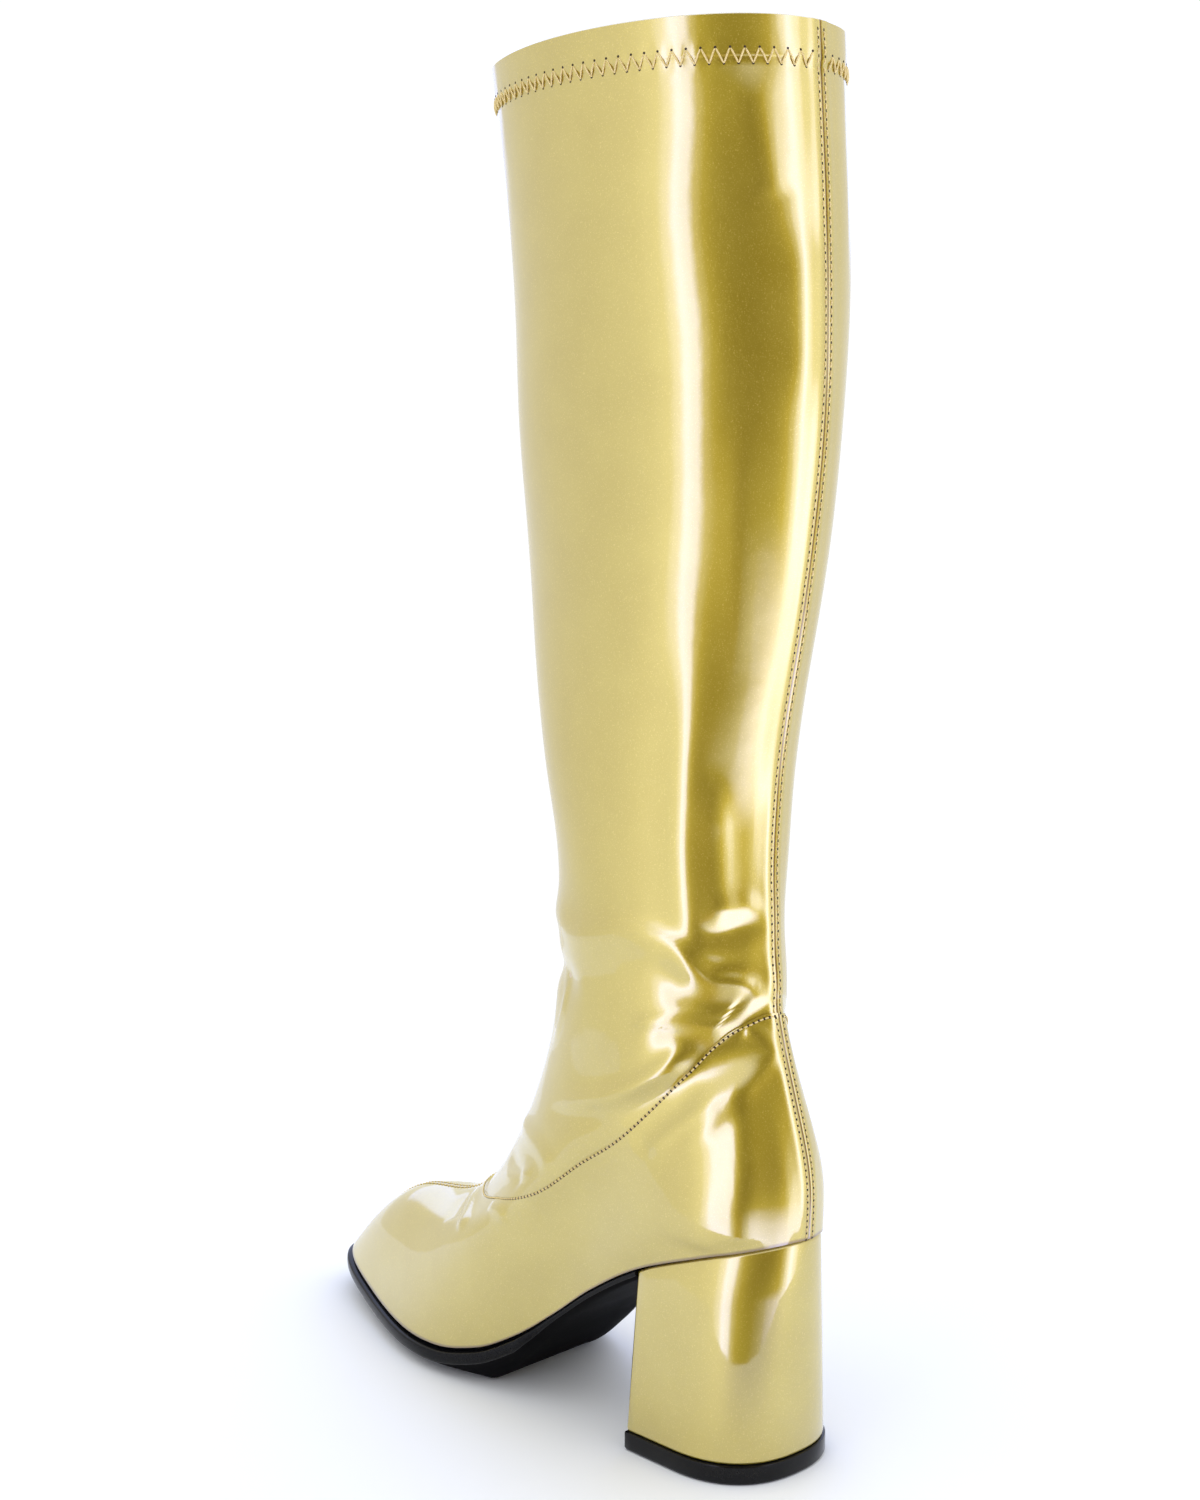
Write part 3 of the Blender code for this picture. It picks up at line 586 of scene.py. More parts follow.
def crease_relief(points):
    """Heights of all creases at points on the outer form."""
    flat = points.reshape(-1, 3)
    relief = np.zeros(len(flat))
    for _, height, above, below, fade_in, fade_out, route in CREASES:
        route = np.array(route, float)
        at = np.linspace(0, len(route) - 1, FOLD_SAMPLES * len(route))
        rows, degrees = smooth_through(np.arange(len(route)), route, at).T
        line, normal, down = surface_frame(rows, np.radians(degrees))
        run = np.gradient(line, axis=0)
        spacing = np.linalg.norm(run, axis=-1)
        run /= spacing[:, None]
        upward = np.cross(normal, run)
        upward *= np.sign((upward * -down).sum(-1))[:, None]
        reach = FOLD_REACH_RATIO * max(above, below) * MM
        in_box = (flat > line.min(0) - reach) & (flat < line.max(0) + reach)
        near = np.flatnonzero(in_box.all(1))
        if not len(near):
            continue
        offset = flat[near][:, None] - line[None]
        k = np.linalg.norm(offset, axis=-1).argmin(1)
        offset = offset[np.arange(len(near)), k]
        along = np.clip((offset * run[k]).sum(-1), -spacing[k], spacing[k])
        offset -= along[:, None] * run[k]
        side = (offset * upward[k]).sum(-1)
        width = (below + (above - below) * eased_edge(side, SIDE_BLEND)) * MM
        t = np.clip((k + along / spacing[k]) / (len(line) - 1), 0, 1)
        fade = ease(t / fade_in) * ease((1 - t) / fade_out)
        relief[near] += height * MM * fade * np.exp(-(offset ** 2).sum(-1) / width ** 2)
    return relief.reshape(points.shape[:-1])


def wave_relief(rows, angles):
    """Slow waves of a stretched skin, none at the collar and on the foot."""
    window = ease(rows / WAVE_START_FADE) * ease((WAVE_END_ROW - rows) / WAVE_END_FADE)
    relief = np.zeros(np.shape(rows))
    for height, length, turns, phase in WAVES:
        round_wave = np.sin(turns * angles + phase)
        relief += height * MM * np.sin(TAU * rows / length + phase) * round_wave
    return relief * window


def seam_distance(rows, angles):
    """Distance round the shoe from the back seam's joint."""
    half = sections_at(rows)[..., 6]
    return np.where(np.cos(angles) > 0, half * np.abs(np.sin(angles)), FAR)


def vamp_seam_distance(rows, angles):
    """Distance from the seam down the middle of the vamp, below the foot panel's edge."""
    half = sections_at(rows)[..., -1]
    on_vamp = (np.cos(angles) < 0) & (rows > VAMP_SEAM_START)
    return np.where(on_vamp, half * np.abs(np.sin(angles)), FAR)


def skin_relief(rows, angles, points):
    """Height of the dressed skin over the outer form, without the foot panel's lap."""
    fold = rows * COLLAR_STEP
    hem = HEM_THICKNESS * eased_edge(HEM_HEIGHT + HEM_THICKNESS - fold, HEM_STEP)
    pucker = groove(fold - HEM_HEIGHT, HEM_PUCKER, HEM_PUCKER_REACH)
    pucker *= 1 - HEM_PUCKER_SWING + HEM_PUCKER_SWING * np.sin(angles * HEM_PUCKER_COUNT)
    across = seam_distance(rows, angles)
    strip = SEAM_THICKNESS * eased_edge(SEAM_HALF_WIDTH - across, STRIP_FADE)
    joint = groove(across, JOINT_DEPTH, JOINT_HALF_WIDTH)
    sewn = groove(across - BACK_ROW_OFFSET, SEWN_DEPTH, SEWN_HALF_WIDTH)
    front_joint = groove(vamp_seam_distance(rows, angles), JOINT_DEPTH, JOINT_HALF_WIDTH)
    return (hem + pucker + strip + joint + sewn + front_joint + wave_relief(rows, angles)
            + crease_relief(points))


def skin(rows, angles, proud):
    """Points at a height over the dressed skin, with its normals and downward directions."""
    rows, angles, proud = np.broadcast_arrays(rows, angles, proud)
    points, normal, down = surface_frame(rows, angles)
    height = skin_relief(rows, angles, points) + proud
    return points + normal * height[..., None], normal, down


def column_angles(rows):
    """Angles of a ring's points, close together at the back seam and the vamp's seam."""
    sizes = sections_at(rows)
    near = np.arcsin(np.array(SEAM_LINES)[None] / sizes[:, 6:7])
    front = math.pi - np.arcsin(np.array(VAMP_LINES)[None] / sizes[:, -1:])
    start = near[:, -1:]
    steps = np.linspace(0, 1, FREE_COLUMNS // 2 + 1)[None, 1:-1]
    even = start + (front[:, -1:] - start) * steps
    shift = np.sin(2 * even) * SIDE_CROWDING_RATIO / 2
    crowded = even + shift * ease(np.sin(even / 2) * COLUMN_EASE)
    side = np.concatenate([near, crowded, front[:, ::-1]], 1)
    return np.concatenate([0 * start, side, 0 * start + math.pi, TAU - side[:, ::-1]], 1)


def even_rows(start, end, count):
    """Rows evenly along the shoe, between two distances from the collar."""
    return np.interp(np.linspace(start, end, count), TRAVEL, np.arange(len(TRAVEL)))


def ring_rows():
    """Places of the outer rings, evenly along the shoe, with more at its steps."""
    even = even_rows(0, TRAVEL[-1], OUTER_RINGS)
    hem = (HEM_HEIGHT + HEM_THICKNESS * np.array(HEM_RINGS)) / COLLAR_STEP
    lap = SEAM_ROW + np.array(LAP_RINGS)
    even = even[np.abs(even[:, None] - hem[None]).min(1) > HEM_RING_GAP]
    even = even[np.abs(even - SEAM_ROW) > LAP_RING_GAP]
    above = np.sort(np.concatenate([even[even < SEAM_ROW], hem, lap[:2]]))
    last = LAST_ROW - np.array(FEATHER_RINGS)
    under = np.sort(np.concatenate([even[even > SEAM_ROW], lap[2:], last]))
    return above, under


def wandered(rows, angles):
    """Rings near the foot panel's edge, shifted so that one lies on it."""
    window = ease(1 - np.abs(rows - SEAM_ROW) / WANDER_REACH)
    return rows + seam_shift(angles) * window


def new_object(name, points, faces, finish, smooth_angle=40):
    """A mesh in the scene, with one finish and smooth faces up to an angle."""
    mesh = bpy.data.meshes.new(name)
    mesh.from_pydata(np.asarray(points, float).tolist(), [], faces)
    mesh.update()
    mesh.materials.append(finish)
    mesh.shade_smooth()
    mesh.set_sharp_from_angle(angle=math.radians(smooth_angle))
    item = bpy.data.objects.new(name, mesh)
    bpy.context.scene.collection.objects.link(item)
    return item


def ring_faces(rings, columns, closed):
    """Quads between rings, and between the last ring and the first where closed."""
    faces = []
    for layer in range(rings if closed else rings - 1):
        below = (layer + 1) % rings
        for i in range(columns):
            j = (i + 1) % columns
            faces.append((layer * columns + i, layer * columns + j,
                          below * columns + j, below * columns + i))
    return faces


def add_measure(item, name, values):
    """Keeps a number for each point of a mesh, for its material to read."""
    layer = item.data.attributes.new(name, "FLOAT", "POINT")
    layer.data.foreach_set("value", np.asarray(values, np.float32).ravel())


def make_upper(finish):
    """The shell: hem, shaft and lapped foot panel outside, its lining side inside."""
    above, under = ring_rows()
    rim_steps = np.array(RIM_STEPS)
    inner_rows = even_rows(TRAVEL[-1], 0, INNER_RINGS)
    seam = np.array([SEAM_ROW])
    rows = np.concatenate([above, seam, seam, under, inner_rows, 0 * rim_steps])
    lap = np.concatenate([0 * above, [0.0], [LAP], 0 * under + LAP])
    rim = -(WALL + HEM_THICKNESS) * rim_steps
    proud = np.concatenate([lap, 0 * inner_rows - WALL, rim])
    angles = column_angles(rows)
    places = np.clip(wandered(rows[:, None], angles), 0, LAST_ROW)
    points = skin(places, angles, proud[:, None])[0]
    outer = len(lap)
    bulge = np.sin(math.pi * rim_steps) * WALL * RIM_BULGE_RATIO
    points[-len(bulge):, :, 2] += bulge[:, None]
    seat = feather_height((1 - np.cos(angles[outer - 1])) / 2)
    points[outer - 1:outer + 1, :, 2] = seat
    item = new_object("upper_shell", points.reshape(-1, 3),
                      ring_faces(len(rows), angles.shape[1], True), finish)
    inside = np.zeros(angles.shape)
    inside[outer:outer + INNER_RINGS] = 1.0
    add_measure(item, "inside", inside)
    joint = np.minimum(seam_distance(places, angles), vamp_seam_distance(places, angles))
    add_measure(item, "seam_gap", np.minimum(joint, MEASURE_LIMIT))
    edge = np.abs(points[..., 2] - feather_height((1 - np.cos(angles)) / 2))
    near_foot = np.where(places > LAST_ROW - FEATHER_ROWS, edge, FAR)
    add_measure(item, "feather_gap", np.minimum(near_foot, MEASURE_LIMIT))
    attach(item, "root")
    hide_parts("upper")


def small_solids(name, layers, sides, finish, smooth_angle):
    """One small closed solid at each of many places, from layers of round rings.

    A layer holds its rings' centres and their two half axes, with a row for each place.
    """
    rings = []
    for centres, first, second in layers:
        for i in range(sides):
            turn = TAU * i / sides
            rings.append(centres + first * math.cos(turn) + second * math.sin(turn))
    points = np.stack(rings, 1).reshape(-1, 3)
    faces = []
    for base in range(0, len(points), len(rings)):
        top = base + len(rings) - sides
        for start in range(base, top, sides):
            for i in range(sides):
                j = (i + 1) % sides
                faces.append((start + j, start + i, start + sides + i, start + sides + j))
        faces.append(tuple(range(base, base + sides)))
        faces.append(tuple(range(top, top + sides))[::-1])
    item = new_object(name, points, faces, finish, smooth_angle)
    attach(item, "root")
    return item


def thread(name, starts, ends, normals, radius, finish):
    """Stitches: short threads that dip into the skin at both ends."""
    run = ends - starts
    across = unit(np.cross(run, normals))
    layers = [(starts + run * along + normals * (lift * radius),
               across * (radius * thickness), normals * (radius * thickness))
              for along, thickness, lift in THREAD_PROFILE]
    item = small_solids(name, layers, THREAD_SIDES, finish, THREAD_SMOOTH)


def needle_holes(name, centres, normals, downs, radius, finish):
    """Painted shade of the holes where the thread goes in: small dark shallow closed caps."""
    across = np.cross(normals, downs)
    layers = [(centres + normals * lift, across * (radius * size), downs * (radius * size))
              for size, lift in HOLE_LAYERS]
    small_solids(name, layers, HOLE_SIDES, finish, HOLE_SMOOTH)


def evenly(rows, angles, proud, pitch):
    """Places along a line on the skin, a pitch apart."""
    points = skin(rows, angles, proud)[0]
    walked = np.concatenate([[0], np.cumsum(np.linalg.norm(np.diff(points, axis=0), axis=-1))])
    count = max(2, int(round(walked[-1] / pitch)))
    marks = np.linspace(0, walked[-1], count + 1)
    return np.interp(marks, walked, rows), np.interp(marks, walked, angles)


def stitch_row(name, rows, angles, proud, pitch, finishes):
    """One row of stitches along a line on the skin, with a needle hole of painted shade between
    each two.
    """
    rows, angles = evenly(rows, angles, proud, pitch)
    points, normal, down = skin(rows, angles, proud)
    gap = (points[1:] - points[:-1]) * (1 - STITCH_SHARE) / 2
    mean = (normal[:-1] + normal[1:]) / 2
    thread(name, points[:-1] + gap, points[1:] - gap, mean, STITCH_RADIUS, finishes[0])
    needle_holes(name + "_hole_shade", points, normal, down, HOLE_RADIUS, finishes[1])


def make_seam_stitches(kinds, finishes):
    """Two rows of each kind, one on each side of the back seam or of the vamp's seam."""
    for label, side in (("outer", 1), ("inner", -1)):
        for kind in kinds:
            start, end, on_vamp, proud, pitch = SEAM_STITCHES[kind]
            rows = np.linspace(start, end, LINE_POINTS)
            half = sections_at(rows)[:, -1 if on_vamp else 6]
            turn = side * np.arcsin(BACK_ROW_OFFSET / half)
            angles = math.pi - turn if on_vamp else turn
            stitch_row(f"{kind}_stitches_{label}", rows, angles, proud, pitch, finishes)


def make_panel_stitches(finishes):
    """One row just inside the edge of the foot panel, all the way round."""
    angles = np.linspace(PANEL_ROW_START, TAU - PANEL_ROW_START, ROUND_POINTS)
    rows = wandered(np.full(len(angles), float(SEAM_ROW)), angles)
    down = base_surface(rows + PANEL_STEP, angles) - base_surface(rows, angles)
    rows = rows + PANEL_STEP * EDGE_ROW_OFFSET / np.linalg.norm(down, axis=-1)
    stitch_row("panel_stitches", rows, angles, LAP, EDGE_PITCH, finishes)


def make_zigzag(finishes):
    """The hem's zigzag row, over the edge of the fold."""
    start = math.asin(SEAM_HALF_WIDTH / SIZES[0, 6])
    angles = np.linspace(start, TAU - start, ROUND_POINTS)
    middle = (ZIGZAG_TOP + ZIGZAG_BOTTOM) / 2 / COLLAR_STEP
    angles = evenly(np.full(len(angles), middle), angles, 0.0, ZIGZAG_PERIOD / 2)[1]
    up = np.arange(len(angles)) % 2 == 0
    rows = np.where(up, ZIGZAG_TOP, ZIGZAG_BOTTOM) / COLLAR_STEP
    points, normal, down = skin(rows, angles, 0.0)
    mean = (normal[:-1] + normal[1:]) / 2
    lift = np.where(up, 0.0, HEM_THICKNESS * ZIGZAG_LIFT_RATIO)
    bridged = points + normal * lift[:, None]
    thread("hem_zigzag", bridged[:-1], bridged[1:], mean, STITCH_RADIUS * ZIGZAG_THREAD_RATIO,
           finishes[0])
    needle_holes("hem_zigzag_hole_shade", points, normal, down, HOLE_RADIUS * ZIGZAG_HOLE_RATIO,
                 finishes[1])


def foot_outline(angles, offset):
    """Points on the feather edge, moved out in plan by an offset."""
    edge = base_surface(LAST_ROW, angles)
    ahead = round_step(LAST_ROW, angles)
    out = unit(np.stack([-ahead[:, 1], ahead[:, 0]], -1))
    edge[:, :2] += out * (np.asarray(offset) + LAP)[..., None]
    return edge


def breast_at(height):
    """Y of the heel's front face at a height: it leans forward to the ground."""
    ground_front = GROUND_SETBACK + GROUND_DEPTH
    down = (SEAT_HEIGHT - height) / (SEAT_HEIGHT - LIFT_HEIGHT)
    return HEEL_BACK + HEEL_DEPTH + (ground_front - HEEL_DEPTH) * down


def stacked_solid(name, rings, finish):
    """A closed solid from rings of an even count, capped from side to side."""
    count = len(rings[0])
    points = np.concatenate(rings)
    faces = ring_faces(len(rings), count, False)
    last = (len(rings) - 1) * count
    for i in range(count // 2 - 1):
        far = count - 1 - i
        faces.append((i + 1, i, far, far - 1))
        faces.append((last + i, last + i + 1, last + far - 1, last + far))
    item = new_object(name, points, faces, finish, SOLID_SMOOTH)
    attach(item, "root")
    return item


def edge_depth(angles, full):
    """Depth of the sole's edge, which is deeper on the inner side of the foot."""
    inner = ease(-np.sin(angles) * EDGE_EASE)
    depth = SOLE_EDGE + (INNER_SOLE_EDGE - SOLE_EDGE) * inner
    return np.minimum(depth, full * EDGE_FULL_RATIO)


def crown_width(share):
    """Width over which the sole's bottom curves up to its edge."""
    past_waist = between(share, CROWN_START_SHARE, CROWN_FULL_SHARE)
    to_toe = between(share, CROWN_TOE_SHARE, 1)
    waist_ratio = WAIST_CROWN_RATIO + (1 - WAIST_CROWN_RATIO) * past_waist
    return CROWN_WIDTH * waist_ratio * (1 - (1 - TOE_CROWN_RATIO) * to_toe)


def make_outsole(finish, tread_finish):
    """Rand, ledge and crowned tread of the sole, with rounded edges."""
    start = breast_at(SEAT_HEIGHT - WAIST_SOLE) + GAP
    first = math.acos(1 - 2 * (start - HEEL_BACK) / FOOT_LENGTH)
    half_step = (math.pi - first) / (2 * SOLE_COLUMNS)
    side = np.linspace(first, math.pi, SOLE_COLUMNS + 1)[:-1] + half_step
    side[0] = first
    angles = np.concatenate([side, TAU - side[::-1]])
    share = (1 - np.cos(angles)) / 2
    top = feather_height(share) - GAP
    past_arch = between(share, ARCH_START_SHARE, ARCH_END_SHARE)
    tapered = WAIST_SOLE + (BALL_SOLE - WAIST_SOLE) * past_arch
    ground = np.maximum(spring_height(share), feather_height(share) - tapered)
    ledge = SOLE_LEDGE * between(share, LEDGE_START_SHARE, LEDGE_FULL_SHARE)
    edge = edge_depth(angles, top - ground)
    low = top - edge
    bevel = np.minimum(GROUND_BEVEL, edge * THIN_EDGE_RATIO)
    crown = crown_width(share)
    layers = [(ledge * out + offset, top - edge * down) for down, out, offset in SOLE_LAYERS]
    layers += [(ledge, low + bevel),
               (ledge - bevel * BEVEL_RATIO, low + bevel * BEVEL_RATIO),
               (ledge - bevel, low)]
    layers += [(ledge - bevel - (crown - bevel) * t, ground + (low - ground) * (1 - t) ** 2)
               for t in np.linspace(0, 1, TREAD_LAYERS + 1)[1:]]
    rings = []
    for offset, height in layers:
        ring = foot_outline(angles, offset)
        ring[:, 2] = height
        ring[[0, -1], 1] = start
        rings.append(ring)
    item = stacked_solid("outsole_fine", rings, finish)
    item.data.materials.append(tread_finish)
    lowest_edge = (len(layers) - TREAD_LAYERS - 1) * len(angles)
    for face in item.data.polygons:
        if min(face.vertices) >= lowest_edge:
            face.material_index = 1
    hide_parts("outsole")


def ground_outline(count, ledge):
    """The heel's foot: a flat front and a rounded back, from the front to the back."""
    half_width = GROUND_WIDTH / 2 + ledge
    back = HEEL_BACK + GROUND_SETBACK - ledge
    depth = GROUND_DEPTH + 2 * ledge
    turns = math.ceil(count * GROUND_BACK_SHARE)
    along = np.arange(count - turns) / (count - turns)
    turn = math.pi / 2 * (1 - np.arange(turns) / (turns - 0.5))
    x = half_width * np.concatenate([0 * along + 1, np.sin(turn) ** GROUND_POWER])
    y = back + np.concatenate([depth - (depth - GROUND_ROUNDNESS) * along,
                               GROUND_ROUNDNESS * (1 - np.cos(turn) ** GROUND_POWER)])
    side = np.stack([x, y, 0 * x], -1)
    return np.concatenate([side, side[::-1] * (-1, 1, 1)])


def rounded_breast(ring, radius):
    """Eases the two front corners of a heel ring over a radius."""
    ring = ring.copy()
    for end, step in ((0, 1), (-1, -1)):
        corner = ring[end].copy()
        inward = np.array([-np.sign(corner[0]), 0.0, 0.0]) * radius
        backward = np.array([0.0, -radius, 0.0])
        ring[end] = corner + inward
        ring[end + step] = corner + (inward + backward) * CORNER_RATIO
        ring[end + 2 * step] = corner + backward
    return ring


def make_heel(finish):
    """The covered block between the seat and the lift."""
    front = breast_at(SEAT_HEIGHT)
    start = math.acos(1 - 2 * (front - HEEL_BACK) / FOOT_LENGTH)
    lower = np.linspace(start, 0.5 * start / HEEL_COUNT, HEEL_COUNT)[1:]
    side = np.concatenate([[start], lower])
    angles = np.concatenate([TAU - side, side[::-1]])
    seat = foot_outline(angles, np.full(len(angles), -HEEL_INSET))
    seat[[0, -1], 1] = front
    seat[:, 2] -= GAP
    ground = ground_outline(HEEL_COUNT, 0.0)
    ground[:, 2] = LIFT_HEIGHT + GAP
    seat = rounded_breast(seat, BREAST_RADIUS)
    ground = rounded_breast(ground, BREAST_RADIUS)
    rings = []
    centre = ground.mean(0)
    for step, inset in HEEL_LAYERS:
        ring = seat + (ground - seat) * step
        ring[:, :2] -= unit(ring[:, :2] - centre[:2]) * inset
        rings.append(ring)
    item = stacked_solid("heel_cover", rings, finish)
    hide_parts("heel_block")


def make_lift(finish):
    """The black lift that the heel stands on, with eased edges."""
    rings = []
    for ledge, height in LIFT_LAYERS:
        ring = ground_outline(HEEL_COUNT, ledge)
        ring[:, 2] = height
        rings.append(rounded_breast(ring, BREAST_RADIUS * LIFT_BREAST_RATIO))
    item = stacked_solid("lift_fine", rings, finish)
    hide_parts("top_lift")


class Nodes:
    """A node tree, with short calls for the nodes that it is made of."""

    def __init__(self, tree):
        self.tree = tree

    def node(self, kind, **settings):
        made = self.tree.nodes.new(kind)
        for key, value in settings.items():
            setattr(made, key, value)
        return made

    def put(self, value, socket):
        if isinstance(value, bpy.types.NodeSocket):
            self.tree.links.new(value, socket)
        else:
            socket.default_value = value

    def filled(self, kind, sockets, **settings):
        """A node with the values of its sockets."""
        made = self.node(kind, **settings)
        for key, value in sockets.items():
            self.put(value, made.inputs[key])
        return made

    def ranged(self, value, low, high, to_low=0.0, to_high=1.0):
        return self.filled("ShaderNodeMapRange", {
            "Value": value, "From Min": low, "From Max": high, "To Min": to_low,
            "To Max": to_high}).outputs["Result"]

    def math(self, operation, first, second):
        return self.filled("ShaderNodeMath", {0: first, 1: second}, operation=operation).outputs[0]

    def mixed(self, share, first, second):
        made = self.node("ShaderNodeMix", data_type="RGBA")
        self.put(share, made.inputs["Factor"])
        self.put(first, made.inputs["A"])
        self.put(second, made.inputs["B"])
        return made.outputs["Result"]


class Finish(Nodes):
    """A material's nodes."""

    def __init__(self, name):
        self.material = bpy.data.materials.new(name)
        self.material.use_nodes = True
        super().__init__(self.material.node_tree)
        self.shader = self.tree.nodes["Principled BSDF"]
        self.place = self.node("ShaderNodeTexCoord").outputs["Object"]

    def values(self, **sockets):
        for key, value in sockets.items():
            self.put(value, self.shader.inputs[key.replace("_", " ")])

    def noise(self, scale, detail=2.0, roughness=0.5):
        return self.filled("ShaderNodeTexNoise", {
            "Vector": self.place, "Scale": scale, "Detail": detail,
            "Roughness": roughness}).outputs["Fac"]

    def measure(self, name):
        return self.node("ShaderNodeAttribute", attribute_name=name).outputs["Fac"]

    def bump(self, height, strength, distance, under=None):
        made = self.filled("ShaderNodeBump", {
            "Strength": strength, "Distance": distance, "Height": height})
        if under is not None:
            self.put(under, made.inputs["Normal"])
        return made.outputs["Normal"]


def gold_patent(name, shell):
    """Pearl gold film under a clear glossy coat, with painted shade darkening its joints; the
    inside of the shell is cloth.
    """
    made = Finish(name)
    flake = made.noise(FLAKE_SCALE, roughness=0.7)
    cloud = made.noise(CLOUD_SCALE, 3.0, 0.55)
    colour = made.mixed(made.ranged(cloud, 0.35, 0.65), GOLD, GOLD_DEEP)
    colour = made.mixed(made.ranged(flake, *FLAKE_COLOUR), colour, GOLD_FLAKE)
    blur = made.ranged(flake, *FLAKE_BLUR)
    metallic = METALLIC
    coat = 1.0
    ripple = made.bump(made.noise(RIPPLE_SCALE), 0.10, 0.0006)
    if shell:
        # painted shade: the shell darkens to brown near the feather edge and in the seams' grooves
        edge = made.ranged(made.measure("feather_gap"), *FEATHER_SHADE_REACH, 1.0, 0.0)
        joint = made.ranged(made.measure("seam_gap"), *JOINT_SHADE_REACH, 1.0, 0.0)
        joint_shade = made.math("MULTIPLY", made.math("MAXIMUM", edge, joint), JOINT_SHADE_SHARE)
        colour = made.mixed(joint_shade, colour, JOINT_SHADE_BROWN)
        inside = made.measure("inside")
        colour = made.mixed(inside, colour, LINING)
        metallic = made.ranged(inside, 0.0, 1.0, METALLIC, 0.0)
        blur = made.math("MAXIMUM", blur, made.ranged(inside, 0.0, 1.0, 0.0, CLOTH_BLUR))
        coat = made.ranged(inside, 0.0, 1.0, 1.0, 0.0)
    made.values(Base_Color=colour, Metallic=metallic, Roughness=blur, Coat_Weight=coat,
                Coat_Roughness=COAT_BLUR, Coat_IOR=COAT_INDEX, Coat_Normal=ripple,
                Normal=made.bump(flake, 0.2, 0.00008, ripple))
    return made.material


def black_gloss(name, roughness, gloss):
    """Black of the sole's edge, the tread and the lift, glossy where the roughness is low."""
    made = Finish(name)
    grain = made.noise(900, 3.0, 0.6)
    made.values(Base_Color=made.mixed(made.ranged(grain, 0.3, 0.7), BLACK_DEEP, BLACK),
                Roughness=made.ranged(grain, 0.3, 0.7, roughness, roughness + GRAIN_SPREAD),
                Specular_IOR_Level=gloss, Normal=made.bump(made.noise(160), 0.12, 0.0004))
    return made.material


def thread_gold(name):
    """Twisted gold thread."""
    made = Finish(name)
    twist = made.noise(5200, 1.0)
    made.values(Base_Color=made.mixed(made.ranged(twist, 0.35, 0.65), THREAD_LIGHT, THREAD_DEEP),
                Roughness=0.5, Metallic=0.2, Normal=made.bump(twist, 0.3, 0.0001))
    return made.material


def hole_shade_brown(name):
    """Painted shade of the needle holes: a dark brown in place of their shadow."""
    made = Finish(name)
    made.values(Base_Color=made.mixed(made.noise(1500), HOLE_SHADE_DEEP, HOLE_SHADE_PALE), Roughness=0.8)
    return made.material


def insole_cloth(name):
    """The plain cloth of the insole."""
    made = Finish(name)
    weave = made.noise(1400)
    made.values(Base_Color=made.mixed(made.ranged(weave, 0.3, 0.7), LINING, LINING_DEEP),
                Roughness=0.85, Normal=made.bump(weave, 0.3, 0.0002))
    return made.material


def plain_white(name):
    """Matt white of the floor."""
    made = Finish(name)
    made.values(Base_Color=FLOOR_WHITE, Roughness=0.85)
    return made.material


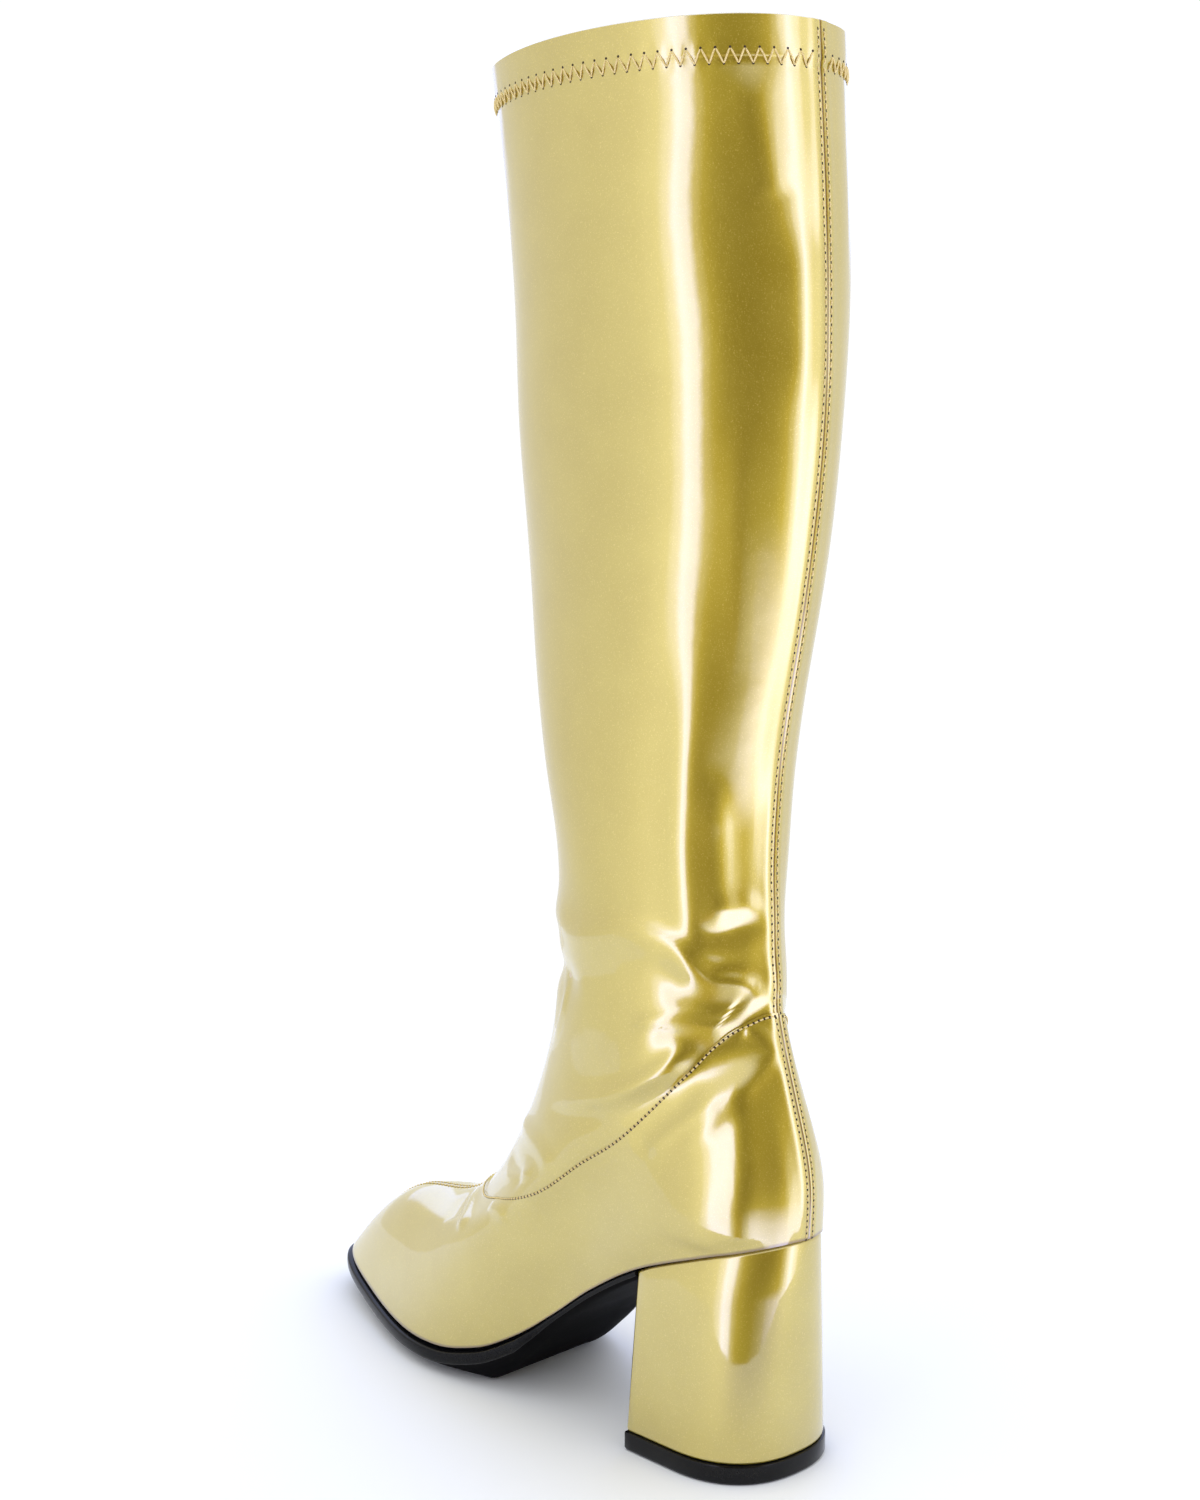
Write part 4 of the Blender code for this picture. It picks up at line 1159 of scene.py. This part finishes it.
def studio_world():
    """Bands of light round the horizon, ceiling light over them and a lit panel."""
    world = bpy.data.worlds.new("studio")
    bpy.context.scene.world = world
    world.use_nodes = True
    made = Nodes(world.node_tree)
    place = made.node("ShaderNodeTexCoord").outputs["Generated"]
    parts = made.filled("ShaderNodeSeparateXYZ", {0: place}).outputs

    def ramp(value, low, high, stops):
        """A colour for each value, eased between stops."""
        colours = made.filled("ShaderNodeValToRGB", {0: made.ranged(value, low, high)})
        colours.color_ramp.interpolation = "EASE"
        elements = colours.color_ramp.elements
        while len(elements) < len(stops):
            elements.new(0.5)
        for element, (stop, colour) in zip(elements, stops):
            element.position = (stop - low) / (high - low)
            element.color = (*colour, 1.0)
        return colours.outputs[0]

    def band_colour(level):
        """Brown where a band is dim, white where it is lit, cooler in the lamps."""
        lit = min(max((level - ROOM_DIM) / (ROOM_LIT - ROOM_DIM), 0.0), 1.0)
        lamp = min(max((level - LAMP_START) / (LAMP_FULL - LAMP_START), 0.0), 1.0)
        return [level / BAND_PEAK * (lit + (1 - lit) * brown) * (1 + lamp * (blue - 1))
                for brown, blue in zip(ROOM_BROWN, LAMP_BLUE)]

    def rising(start, full):
        """Black below a height of the direction, white above another."""
        return ramp(parts[2], -1, 1, [(-1, black), (start, black), (full, white), (1, white)])

    black = (0, 0, 0)
    white = (1, 1, 1)
    turn = made.math("ARCTAN2", parts[0], parts[1])
    bands, low_bands = (
        ramp(turn, -math.pi, math.pi,
             [(math.radians(degrees), band_colour(level)) for degrees, level in table])
        for table in (STUDIO_BANDS, LOW_BANDS))
    near, far = LIT_PANEL_REACH
    ahead = ramp(turn, -math.pi, math.pi,
                 [(math.radians(LIT_PANEL_MIDDLE + degrees), colour) for degrees, colour in
                  ((-far, black), (-near, white), (near, white), (far, black))])
    panel = made.math("MULTIPLY", ahead, rising(*LIT_PANEL_ABOVE))
    ceiling = (*[CEILING_LIGHT / BAND_PEAK] * 3, 1.0)
    lit_panel = (*[part / BAND_PEAK for part in LIT_PANEL], 1.0)
    room = made.mixed(rising(LOW_FULL, LOW_START), low_bands, bands)
    room = made.mixed(rising(CEILING_START, CEILING_FULL), room, ceiling)
    background = made.tree.nodes["Background"]
    made.put(made.mixed(panel, room, lit_panel), background.inputs["Color"])
    made.put(BAND_PEAK, background.inputs["Strength"])
    backdrop = made.filled("ShaderNodeBackground", {
        "Color": (1.0, 1.0, 1.0, 1.0), "Strength": BACKDROP_LIGHT})
    seen = made.node("ShaderNodeLightPath").outputs["Is Camera Ray"]
    mix = made.filled("ShaderNodeMixShader", {
        0: seen, 1: background.outputs[0], 2: backdrop.outputs[0]})
    made.put(mix.outputs[0], made.tree.nodes["World Output"].inputs["Surface"])


def make_floor():
    """A pale round floor, as bright as what lies behind it."""
    turns = np.linspace(0, TAU, FLOOR_SIDES, endpoint=False)
    points = np.stack([np.cos(turns), np.sin(turns), 0 * turns], -1) * FLOOR_RADIUS
    points[:, 1] += FOOT_LENGTH / 2 + HEEL_BACK
    azimuth = math.radians(CAMERA_AZIMUTH)
    towards = -np.array([math.sin(azimuth), math.cos(azimuth), 0])
    beyond = np.maximum(points @ towards - FLOOR_FRONT, 0)
    points -= beyond[:, None] * towards
    floor = new_object("floor", points, [tuple(range(FLOOR_SIDES))], plain_white("floor_white"))
    floor.location = (0.0, 0.0, -FLOOR_DROP)


def make_camera():
    """The camera, as far off and as long as the photograph's."""
    data = bpy.data.cameras.new("camera")
    data.lens = CAMERA_LENS
    data.sensor_width = SENSOR_WIDTH
    camera = bpy.data.objects.new("camera", data)
    camera.location = CAMERA_PLACE
    camera.rotation_euler = (math.radians(90 - CAMERA_DOWN), 0.0,
                             math.radians(-CAMERA_AZIMUTH))
    bpy.context.scene.collection.objects.link(camera)
    bpy.context.scene.camera = camera


def main():
    """Makes the finishes, the pieces, the stage and the camera."""
    shell_gold = gold_patent("gold_patent_shell", True)
    heel_gold = gold_patent("gold_patent_heel", False)
    sole_black = black_gloss("sole_black", 0.16, 0.12)
    tread_black = black_gloss("tread_black", 0.6, 0.02)
    lift_black = black_gloss("lift_black", 0.1, 0.2)
    finishes = (thread_gold("gold_thread"), hole_shade_brown("needle_hole_shade"))
    make_upper(shell_gold)
    make_seam_stitches(("back", "counter"), finishes)
    make_panel_stitches(finishes)
    make_seam_stitches(("vamp",), finishes)
    make_zigzag(finishes)
    make_outsole(sole_black, tread_black)
    make_heel(heel_gold)
    make_lift(lift_black)
    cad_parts["insole"].data.materials.clear()
    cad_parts["insole"].data.materials.append(insole_cloth("insole_weave"))
    make_floor()
    studio_world()
    make_camera()
    bpy.context.scene.view_settings.view_transform = "Standard"


main()
